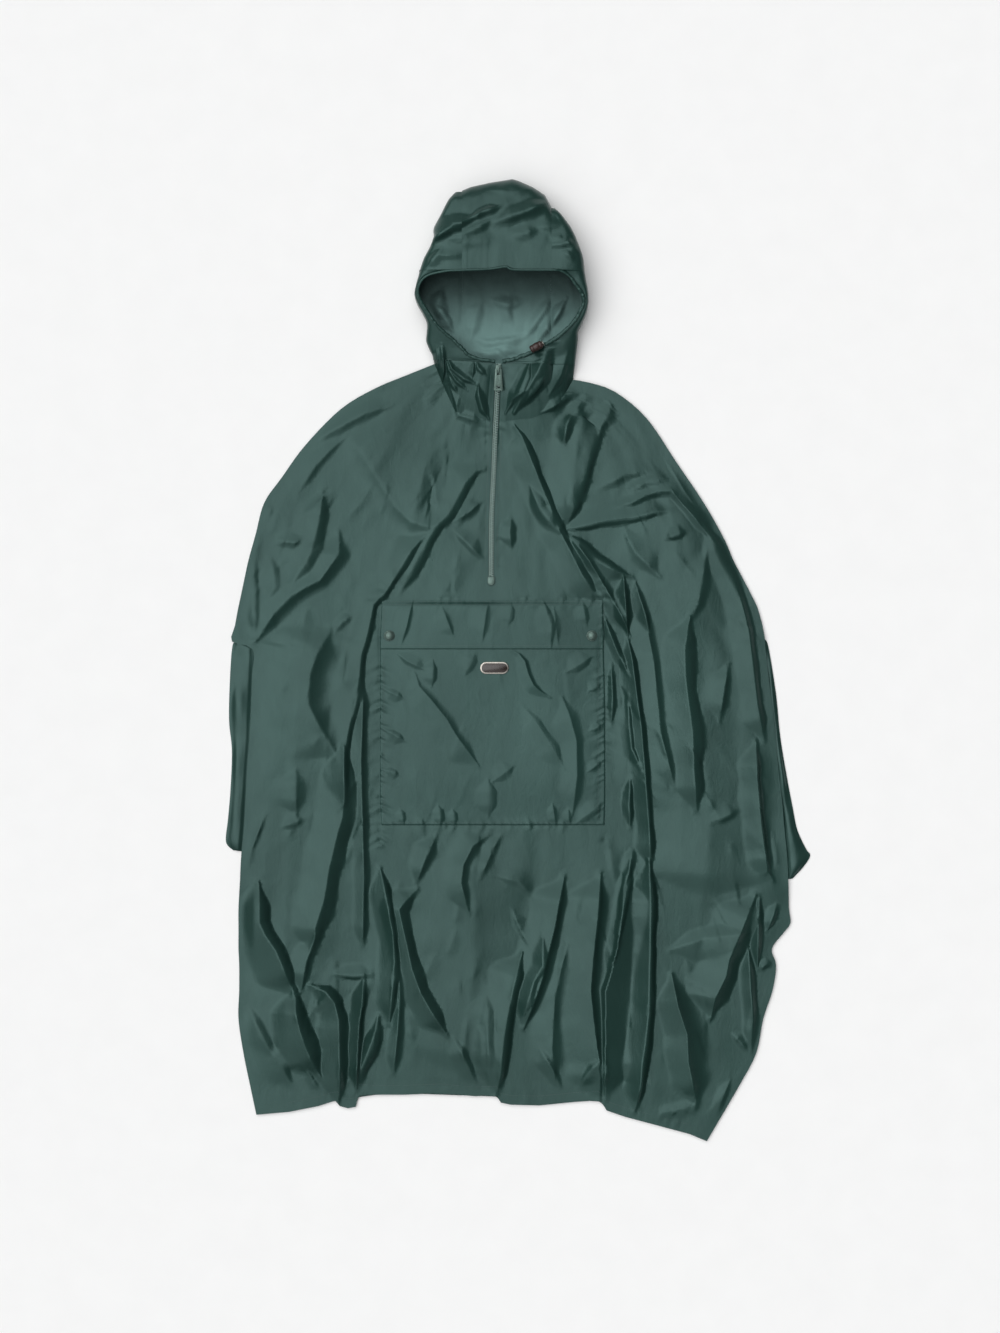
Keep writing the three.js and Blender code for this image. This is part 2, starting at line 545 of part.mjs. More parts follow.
function slider(line) {
  const at = mix(line[0], line[1], SLIDER.down / distance(line[0], line[1]));
  const slope = Math.atan2(line[0][2] - line[2][2], line[0][1] - line[2][1]);
  const chainTop = at[2] + (TAPE_HEIGHT + SEAM + CHAIN_HEIGHT + SEAM) / Math.cos(slope);
  const seat = (geometry) => geometry.rotateX(slope).translate(at[0], at[1], chainTop);
  const [half, body] = [SLIDER.length / 2, SLIDER.height];
  const reach = BRIDGE.length / 2;
  const plateShape = new THREE.Shape();
  const w = SLIDER.width / 2;
  const [nose, waist] = [0.72 * w, 0.8 * w];
  trace(plateShape, [
    [-nose, -half], [nose, -half], [w, half * 0.2], [waist, half], [-waist, half], [-w, half * 0.2],
  ]);
  const plateBody = new THREE.ExtrudeGeometry(plateShape, { depth: body, bevelEnabled: false });
  add("zip_slider", seat(plateBody), "metal");
  const arch = new THREE.Shape();
  const foot = body + SEAM;
  const top = foot + BRIDGE.gap;
  const [leg, corner] = [1.3, 1.5];
  trace(arch, [
    [-reach, foot], [-reach + leg, foot], [-reach + leg, top], [reach - leg, top], [reach - leg, foot],
    [reach, foot], [reach, top + BRIDGE.bar * 0.6], [reach - corner, top + BRIDGE.bar],
    [-reach + corner, top + BRIDGE.bar], [-reach, top + BRIDGE.bar * 0.6],
  ]);
  const bridge = new THREE.ExtrudeGeometry(arch, { depth: BRIDGE.width, bevelEnabled: false });
  // The arch is drawn in Y and Z, so the extrusion's own axes are turned onto them.
  bridge.translate(0, 0, -BRIDGE.width / 2).rotateY(Math.PI / 2).rotateX(Math.PI / 2);
  add("zip_bridge", seat(bridge), "metal");
  return { seat, height: foot + BRIDGE.gap / 2 };
}

// Pull: a flat tab, wider at its tail, with an eye round the bridge and a hole near the tail.
// It turns about the bar at its head, which lies along X inside the bridge.
function pull({ seat, height }) {
  const outline = new THREE.Shape();
  const [head, tail, bar] = [PULL.headWidth / 2, PULL.tailWidth / 2, PULL.bar / 2];
  const [neat, corner] = [1, 1.5];
  trace(outline, [
    [-head + neat, bar], [-head, bar - neat], [-tail, -PULL.length + corner],
    [-tail + corner, -PULL.length], [tail - corner, -PULL.length], [tail, -PULL.length + corner],
    [head, bar - neat], [head - neat, bar],
  ]);
  const hole = (x0, x1, y0, y1) => {
    const path = new THREE.Path();
    trace(path, [[x0, y0], [x0, y1], [x1, y1], [x1, y0]]);
    outline.holes.push(path);
  };
  hole(-2.2, 2.2, -bar - PULL.eye - 2, -bar);
  hole(-2.6, 2.6, -PULL.length + 3, -PULL.length + 7);
  const tab = new THREE.ExtrudeGeometry(outline, { depth: PULL.thick, bevelEnabled: false });
  tab.translate(0, 0, -PULL.thick / 2).rotateX(PULL.tilt).translate(0, 0, height);
  add("zip_pull", seat(tab), "metal");
}

function zipStop(line) {
  const [x, y, z] = line.at(-1);
  const [width, length, height] = [10, 12, 2.2];
  const stop = new THREE.Shape();
  stop.absarc(0, 0, width / 2, Math.PI, 2 * Math.PI, false);
  stop.lineTo(width / 2, length - width / 2);
  stop.lineTo(-width / 2, length - width / 2);
  const box = new THREE.ExtrudeGeometry(stop, { depth: height, bevelEnabled: false, curveSegments: 8 });
  add("zip_stop", box.translate(x, y - length + width / 2 - 0.5, z + CLOTH + 2 * SEAM), "metal");
}

// Hood: three panels. Every section of a side panel is a C that starts at the rim or at the upper
// seam, goes out to the hood's side, turns under and comes back along the surface to the lower seam.
const UNDER_ROLL = 12; // how far in from the side the cloth reaches the surface
const CROWN = [
  [HOOD_LEFT_SEAM_X, 655], [-66, 660], [-40, 666], [-8, 671.2], [0, 669], [20, 660], [37, 649],
  [42, 640], [HOOD_RIGHT_SEAM_X, 632],
];
const RIM_TOP = [
  [HOOD_LEFT_SEAM_X, 541], [-40, 543], [-17, 546], [-5, 542], [HOOD_RIGHT_SEAM_X, 541],
];

// Hollows of the crown, where its cloth has sunk in behind the brim. Their heights are negative.
const HOLLOWS = [
  [-8, 22, 26, [[-126, 566], [-100, 584], [-74, 600], [-40, 608]]],
  [-7, 24, 28, [[-60, 598], [-25, 604], [10, 616], [42, 632]]],
  [-4, 16, 20, [[30, 596], [58, 604], [80, 596]]],
].map(namedFold);

// The hollows fade out towards the crown's outline, which stays as it is.
const sunk = ([x, y, z]) => [x, y, z + foldedBy(HOLLOWS, x, y) * smooth((z - CROWN_EDGE_Z) / 14)];

// Points of a C-shaped section with its outer and inner side, in a plane given by along and z.
// start is the upper end, side the widest place, end the lower end; each is [along, z].
// A section that starts on a seam keeps its inner side on the same side of that seam.
function hook(start, side, end, upperSteps, lowerSteps, onSeam = false) {
  const out = Math.sign(side[0] - end[0]);
  const roll = Math.min(UNDER_ROLL, Math.abs(side[0] - end[0]) * 0.55);
  const outer = [];
  for (let i = 0; i <= upperSteps; i++) {
    const share = Math.sin((Math.PI / 2) * (i / upperSteps)) ** (2 / FULLNESS);
    outer.push([lerp(start[0], side[0], share), lerp(side[1], start[1], level(share))]);
  }
  for (let i = 1; i <= 3; i++) {
    const a = (Math.PI / 2) * (i / 3);
    outer.push([side[0] - out * roll * (1 - Math.cos(a)), side[1] * (1 - Math.sin(a))]);
  }
  for (let i = 1; i <= lowerSteps; i++) {
    outer.push([lerp(side[0] - out * roll, end[0], i / lowerSteps), 0]);
  }
  const inner = outer.map((p, i) => {
    const [a, b] = [outer[Math.max(0, i - 1)], outer[Math.min(outer.length - 1, i + 1)]];
    const [dx, dz] = [b[0] - a[0], b[1] - a[1]];
    const size = Math.hypot(dx, dz);
    if (onSeam && i === 0) return [p[0], p[1] - Math.min(4, (HOOD_CLOTH * size) / Math.abs(dx))];
    if (i === outer.length - 1) return [p[0], p[1] + HOOD_CLOTH];
    const along = p[0] + (out * HOOD_CLOTH * dz) / size;
    const isPastSeam = onSeam && out * (along - start[0]) < 0;
    return [isPastSeam ? start[0] : along, p[1] - (out * HOOD_CLOTH * dx) / size];
  });
  return { outer, inner };
}

// Height of the crown along a seam, from the rim to the hood's top edge.
function crownZ(y, edgeY) {
  return lerp(CROWN_EDGE_Z, HOOD_RIM_Z, level((y - HOOD_RIM_Y) / (edgeY - HOOD_RIM_Y)));
}

// A side panel from its stations: rim is the start of the section, side its widest place and
// seamY the place along the lower seam.
function hoodSide(name, seamX, stations) {
  const upper = 7;
  const sections = stations.map(({ rim, side, seamY, onSeam }) => {
    const sideZ = Math.max(CROWN_EDGE_Z * 0.7, rim[2] * lerp(0.4, 0.58, smooth((rim[1] - 485) / 50)));
    const { outer, inner } = hook([rim[0], rim[2]], [side[0], sideZ], [seamX, 0], upper - 1, 4, onSeam);
    const place = ([x, z], i) => {
      const span = i < upper ? [rim, side] : [side, [seamX, seamY]];
      const t = clamp01((x - span[0][0]) / (span[1][0] - span[0][0] || 1));
      return [x, lerp(span[0][1], span[1][1], t), z];
    };
    return { outer: outer.map(place), inner: inner.map(place) };
  });
  add(name, hoodWall(sections, upper), "shell");
}

// The wall of a hood panel; the first points of each section are those of its upper layer.
function hoodWall(sections, upper) {
  const [outer, inner] = ["outer", "inner"].map((key) =>
    sections.map((section) => section[key].map((p, i) => (i < upper ? sunk(p) : p))));
  return wall(outer, inner);
}

function hood() {
  const half = SEAM / 2;
  const crownStation = (seamX, edgeY) => ([y, sideX]) =>
    ({ rim: [seamX, y, crownZ(y, edgeY)], side: [sideX, y], seamY: y, onSeam: true });
  const rimStation = ([rx, ry, rz, sx, sy, seamY]) => ({ rim: [rx, ry, rz], side: [sx, sy], seamY });
  // Columns: distance along the garment, and the side's place.
  const leftCrown = [
    [651, -88], [640, -97], [620, -107], [600, -117], [587, -117], [575, -122], [558, -131],
    [HOOD_RIM_Y + 1, -136.5],
  ];
  const rightCrown = [[628, 52], [620, 60], [600, 74], [580, 83], [560, 90], [HOOD_RIM_Y + 1, 92]];
  // Columns: the rim's x, y and z, the side's x and y, and the place along the lower seam.
  const leftRim = [
    [-100, 540, 56, -137, 540, 538], [-124, 535, 53, -139, 532, 532], [-136, 526, 50, -141.5, 523, 523],
    [-140.5, 511, 46, -144, 509, 509], [-135, 497, 42, -140, 496, 496], [-126, 483, 38, -132, 482, 482],
    [-116, 469, 34, -127, 470, 469], [-103, 456, 30, -127.5, 458, 456], [-90, 445, 27, -128, 446, 444],
    [-78, 433, 25, -123, 434, 430], [-64, 422, 23, -119.5, 427, 420],
    [ZIP_TOP_X - 5, 416, 21, -118.5, 421, 413],
  ];
  const rightRim = [
    [60, 540, 56, 92.5, 539, 538], [72, 533, 53, 94, 530, 530], [82, 521, 50, 96.5, 518, 518],
    [90, 509, 46, 98, 506, 506], [93, 498, 42, 97.5, 495, 495], [87, 484, 38, 94.5, 482, 482],
    [78, 470, 34, 89, 470, 469], [65, 457, 31, 84, 459, 456], [50, 446, 28, 83.5, 448, 444],
    [34, 437, 26, 82.5, 438, 432], [14, 427, 23, 81, 427, 420], [-4, 420, 22, 80, 418, 410],
    [ZIP_TOP_X + 5, 416, 21, 79.5, 413, 396],
  ];
  hoodSide("hood_left", HOOD_LEFT_SEAM_X - half,
    [...leftCrown.map(crownStation(HOOD_LEFT_SEAM_X - half, 655)), ...leftRim.map(rimStation)]);
  hoodSide("hood_right", HOOD_RIGHT_SEAM_X + half,
    [...rightCrown.map(crownStation(HOOD_RIGHT_SEAM_X + half, 632)), ...rightRim.map(rimStation)]);

  const columns = 9;
  const upper = 9;
  const sections = [];
  for (let i = 0; i <= columns; i++) {
    const x = lerp(HOOD_LEFT_SEAM_X + half, HOOD_RIGHT_SEAM_X - half, i / columns);
    const rimY = look(RIM_TOP, x);
    const neckY = lerp(413, 396, i / columns);
    const edge = [look(CROWN, x), CROWN_EDGE_Z];
    const { outer, inner } = hook([rimY, HOOD_RIM_Z], edge, [neckY, 0], upper - 1, 8);
    const place = ([y, z]) => [x, y, z];
    sections.push({ outer: outer.map(place), inner: inner.map(place) });
  }
  add("hood_centre", hoodWall(sections, upper), "shell");
  return { leftRim, rightRim };
}

// Casing: the rolled edge round the hood's opening, which holds the drawcord.
const CASING_RADIUS = 1.6;

function hoodCasing({ leftRim, rightRim }) {
  const over = 2.1; // up from the rim, and as far again towards the opening
  const middle = new THREE.Vector3(-22, 480, 0);
  const line = [
    ...leftRim.slice().reverse().map(([x, y, z]) => [x, y, z]),
    ...RIM_TOP.map(([x, y]) => [x, y, HOOD_RIM_Z]),
    ...rightRim.map(([x, y, z]) => [x, y, z]),
  ].map(([x, y, z]) => {
    const inward = middle.clone().sub(new THREE.Vector3(x, y, 0)).setLength(over);
    return new THREE.Vector3(x + inward.x, y + inward.y, z + over);
  });
  const path = new THREE.CatmullRomCurve3(line);
  const ring = new THREE.Shape();
  const sides = 6;
  const turns = Array.from({ length: sides }, (_, i) => (2 * Math.PI * i) / sides);
  trace(ring, turns.map((a) => [CASING_RADIUS * Math.cos(a), CASING_RADIUS * Math.sin(a)]));
  add("hood_casing", new THREE.ExtrudeGeometry(ring, { steps: 64, extrudePath: path }), "shell");
}

// Cord lock: a round barrel at the right end of the casing, with the eyelet that the cord leaves by.
function cordLock() {
  const AT = { x: 26, y: 437, z: 35.6 };
  const TURN = THREE.MathUtils.degToRad(28);
  const barrel = [[0, -10], [4.6, -10], [5.8, -8.6], [5.8, 6.4], [4.6, 8], [0, 8]];
  const lathe = new THREE.LatheGeometry(barrel.map(([r, h]) => new THREE.Vector2(r, h)), 16);
  lathe.rotateZ(-Math.PI / 2).rotateZ(TURN).translate(AT.x, AT.y, AT.z);
  add("cord_lock", lathe, "lock");
  const ring = [[2, 8.4], [4.2, 8.4], [4.6, 9.2], [4.2, 10], [2, 10], [2, 8.4]];
  const eyelet = new THREE.LatheGeometry(ring.map(([r, h]) => new THREE.Vector2(r, h)), 16);
  eyelet.rotateZ(-Math.PI / 2).rotateZ(TURN).translate(AT.x, AT.y, AT.z);
  add("cord_eyelet", eyelet, "steel");
}

backPanel();
sidePieces();
frontPanel();
const { bagTop, flapTop } = pocket();
pressStud("stud_left", -180, 36, flapTop);
pressStud("stud_right", 103, 36, flapTop);
plate(-33, -9, bagTop);
collars();
const line = zip();
pull(slider(line));
zipStop(line);
hoodCasing(hood());
cordLock();

export default poncho;
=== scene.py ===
"""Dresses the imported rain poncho: thin nylon with its folds, stitches, zip, fasteners and stage.

The poncho lies flat on its back. +X is to the right as seen from above, +Y runs from the hem
towards the hood and +Z is up. Tables are in millimetres, and meshes are written in metres.
"""
import math
from bisect import bisect_left
from collections import namedtuple

import bmesh
import bpy
from bpy.props import FloatProperty, FloatVectorProperty, PointerProperty
from mathutils import Matrix, Vector, noise


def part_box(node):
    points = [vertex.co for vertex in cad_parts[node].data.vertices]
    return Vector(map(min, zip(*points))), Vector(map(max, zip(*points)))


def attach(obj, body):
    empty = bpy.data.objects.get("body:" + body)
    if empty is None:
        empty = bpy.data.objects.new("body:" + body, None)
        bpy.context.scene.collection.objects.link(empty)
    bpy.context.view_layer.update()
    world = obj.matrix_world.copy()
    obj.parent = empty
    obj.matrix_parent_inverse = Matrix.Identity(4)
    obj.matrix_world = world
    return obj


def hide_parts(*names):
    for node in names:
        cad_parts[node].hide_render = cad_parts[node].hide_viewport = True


bl_info = {
    "name": "Rain poncho, laid flat",
    "version": (1, 0, 0),
    "blender": (4, 5, 0),
    "location": "View3D > Sidebar > Poncho",
    "description": "Cloth, seams, zip, fasteners and stage of a hooded rain poncho",
    "category": "Object",
}

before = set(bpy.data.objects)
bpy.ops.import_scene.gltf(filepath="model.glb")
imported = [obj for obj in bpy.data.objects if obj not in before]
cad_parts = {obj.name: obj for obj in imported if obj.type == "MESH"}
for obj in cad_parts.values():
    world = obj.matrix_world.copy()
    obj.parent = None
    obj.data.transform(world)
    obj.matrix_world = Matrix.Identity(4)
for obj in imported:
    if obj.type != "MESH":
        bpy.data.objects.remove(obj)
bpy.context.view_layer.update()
MM = 0.001
UP = Vector((0, 0, 1))
GARMENT = "garment"
PULL = "pull"

# Heights over the surface that the poncho lies on, as in the solids
BACK_CLOTH = 1.6
SEAM = 0.3
FRONT_CLOTH = 1.6
TRIM_CLOTH = 1.1
FRONT_BASE = BACK_CLOTH + SEAM + FRONT_CLOTH
SIDE_ROLL = 26
HEM_ROLL = 60
POCKET_FULLNESS = 2.2


class PonchoSizes(bpy.types.PropertyGroup):
    """Sizes of the cloth's detail, in millimetres."""

    cloth_step: FloatProperty(
        name="Cloth grid", description="Distance between the cloth's points", default=5.4, min=2, max=20)
    trim_step: FloatProperty(
        name="Pocket grid", description="Distance between the pocket's points", default=2.4, min=1, max=20)
    hood_step: FloatProperty(
        name="Hood grid", description="Distance between the hood's points", default=2.6, min=1, max=20)
    stitch: FloatProperty(name="Stitch", description="Length of a stitch", default=2.4, min=1, max=8)
    stitch_gap: FloatProperty(
        name="Stitch gap", description="Distance between stitches", default=0.9, min=0.2, max=4)
    thread: FloatProperty(
        name="Thread", description="Thickness of the sewing thread", default=0.45, min=0.1, max=2)
    hem: FloatProperty(name="Hem", description="Width of the turned-up hem", default=13, min=5, max=40)
    tooth_pitch: FloatProperty(
        name="Tooth pitch", description="Distance between zip teeth", default=3.4, min=1, max=5)
    crinkle: FloatProperty(
        name="Crinkle", description="Height of the small creases", default=0.55, min=0, max=3)
    swell: FloatProperty(
        name="Swell", description="Height of the broad unevenness", default=1.6, min=0, max=8)


def colour(name, description, default):
    return FloatVectorProperty(
        name=name, description=description, default=default, subtype="COLOR", min=0, max=1, size=3)


class PonchoColours(bpy.types.PropertyGroup):
    """Colours of the cloth and the fittings, scene linear."""

    shell: colour("Shell", "Outer nylon", (0.0123, 0.0346, 0.0286))
    pocket: colour("Pocket", "Pocket nylon", (0.0132, 0.0370, 0.0310))
    inside: colour("Inside", "Coated inner face of the nylon", (0.122, 0.210, 0.198))
    tape: colour("Tape", "Zip tape", (0.020, 0.050, 0.043))
    teeth: colour("Teeth", "Zip teeth", (0.24, 0.34, 0.31))
    thread: colour("Thread", "Sewing thread", (0.030, 0.066, 0.060))
    metal: colour("Metal", "Enamelled zip and studs", (0.085, 0.135, 0.118))
    steel: colour("Steel", "Plate frame and eyelet", (0.34, 0.32, 0.29))
    enamel: colour("Enamel", "Plate face", (0.020, 0.012, 0.010))
    lock: colour("Lock", "Cord lock", (0.035, 0.018, 0.015))
    floor: colour("Floor", "Surface that the poncho lies on", (0.9, 0.9, 0.895))


class PonchoStage(bpy.types.PropertyGroup):
    """Light and camera."""

    key: FloatProperty(
        name="Key light", description="Strength of the soft light from the upper left", default=3.3, min=0)
    spread: FloatProperty(
        name="Softness", description="Width of the key light as seen from the cloth",
        default=math.radians(74),
        min=0, max=math.pi, subtype="ANGLE")
    sky: FloatProperty(
        name="Sky", description="Strength of the even light from all round", default=0.12, min=0)


def sizes():
    return bpy.context.scene.poncho_sizes


def colours():
    return bpy.context.scene.poncho_colours


def clamp01(v):
    return min(1.0, max(0.0, v))


def smooth(t):
    t = clamp01(t)
    return t * t * (3 - 2 * t)


def lerp(a, b, t):
    return a + (b - a) * t


def mix(p, q, t):
    return tuple(lerp(a, b, t) for a, b in zip(p, q))


def look(table, at):
    """Value at a place in a table of (at, value) rows in rising order, with straight lines between."""
    i = min(max(1, bisect_left(table, (at,))), len(table) - 1)
    (a, va), (b, vb) = table[i - 1], table[i]
    return lerp(va, vb, clamp01((at - a) / (b - a)))


def rounded(points, t):
    """Point of a smooth curve through the points; t counts them from 0."""
    i = min(int(t), len(points) - 2)
    f = t - i
    p1, p2 = points[i], points[i + 1]
    p0 = points[i - 1] if i else p1
    p3 = points[i + 2] if i + 2 < len(points) else p2
    return tuple(
        0.5 * (2 * b + (c - a) * f + (2 * a - 5 * b + 4 * c - d) * f * f + (3 * b - a - 3 * c + d) * f ** 3)
        for a, b, c, d in zip(p0, p1, p2, p3))


def lattice(i, j, seed):
    """A steady random number from -1 to 1 for a point of a lattice."""
    v = math.sin(i * 127.1 + j * 311.7 + seed * 74.7) * 43758.5453
    return 2 * (v - math.floor(v)) - 1


def zigzag(at, seed):
    """A steady line of straight stretches about 1 long, with values from -1 to 1."""
    i = math.floor(at)
    return lerp(lattice(i, seed, 5), lattice(i + 1, seed, 5), at - i)


class Folds:
    """A set of creases. Each has a crest along its route, a steep side on the left of the route's
    way and a gentle one on its right: rows are (route, drop, height, rise), where drop and rise
    are the widths of the steep and the gentle side."""

    CELL = 30

    def __init__(self, rows):
        self.creases = []
        self.cells = {}
        for route, drop, height, rise in rows:
            self.add(route, drop, height, rise * 1.2)

    def add(self, route, drop, height, rise):
        number = len(self.creases)
        done = 0
        whole = sum(math.dist(a, b) for a, b in zip(route, route[1:]))
        narrow = min(1, 0.24 * whole / drop)  # a short crease is a narrow one
        drop, height, rise = drop * narrow, height * narrow, rise * narrow
        reach = 1.4 * max(drop, rise)
        for a, b in zip(route, route[1:]):
            dx, dy = b[0] - a[0], b[1] - a[1]
            length = math.hypot(dx, dy)
            part = (a[0], a[1], dx / length, dy / length, length, done)
            self.share_out(number, part, reach)
            done += length
        # Above 0 the crest is rounded and the foot sharp, and below 0 the other way round.
        roundness = 1.3 * lattice(number, 3, 9)
        self.creases.append((drop, height, rise, done, roundness))

    def share_out(self, number, part, reach):
        ax, ay, dx, dy, length, _ = part
        bx, by = ax + dx * length, ay + dy * length
        low = [int((min(p, q) - reach) // self.CELL) for p, q in ((ax, bx), (ay, by))]
        high = [int((max(p, q) + reach) // self.CELL) for p, q in ((ax, bx), (ay, by))]
        for i in range(low[0], high[0] + 1):
            for j in range(low[1], high[1] + 1):
                self.cells.setdefault((i, j), {}).setdefault(number, []).append(part)

    def at(self, x, y):
        here = self.cells.get((int(x // self.CELL), int(y // self.CELL)))
        if not here:
            return 0.0
        total = 0.0
        for number, parts in here.items():
            near = 1e9
            for ax, ay, dx, dy, length, done in parts:
                px, py = x - ax, y - ay
                t = px * dx + py * dy
                t = 0.0 if t < 0 else length if t > length else t
                ox, oy = px - dx * t, py - dy * t
                off = ox * ox + oy * oy
                if off < near:
                    near, side, reached = off, dx * py - dy * px, done + t
            drop, height, rise, whole, roundness = self.creases[number]
            taper = 0.2 + 0.8 * smooth(min(reached, whole - reached) / min(36, 0.35 * whole))
            uneven = zigzag(reached / 26, number)
            width = drop * (1 + 0.22 * uneven) if side > 0 else rise * (1 + 0.12 * uneven)
            q = math.sqrt(near) / (taper * width)
            if q >= 1:
                continue
            left = 1 - q
            if side <= 0:
                shape = 1.15 * left * left / (left + 0.15)
            elif roundness > 0:
                shape = 1 - q ** (1 + roundness)
            else:
                shape = left ** (1 - roundness)
            total += height * taper * shape
        return total


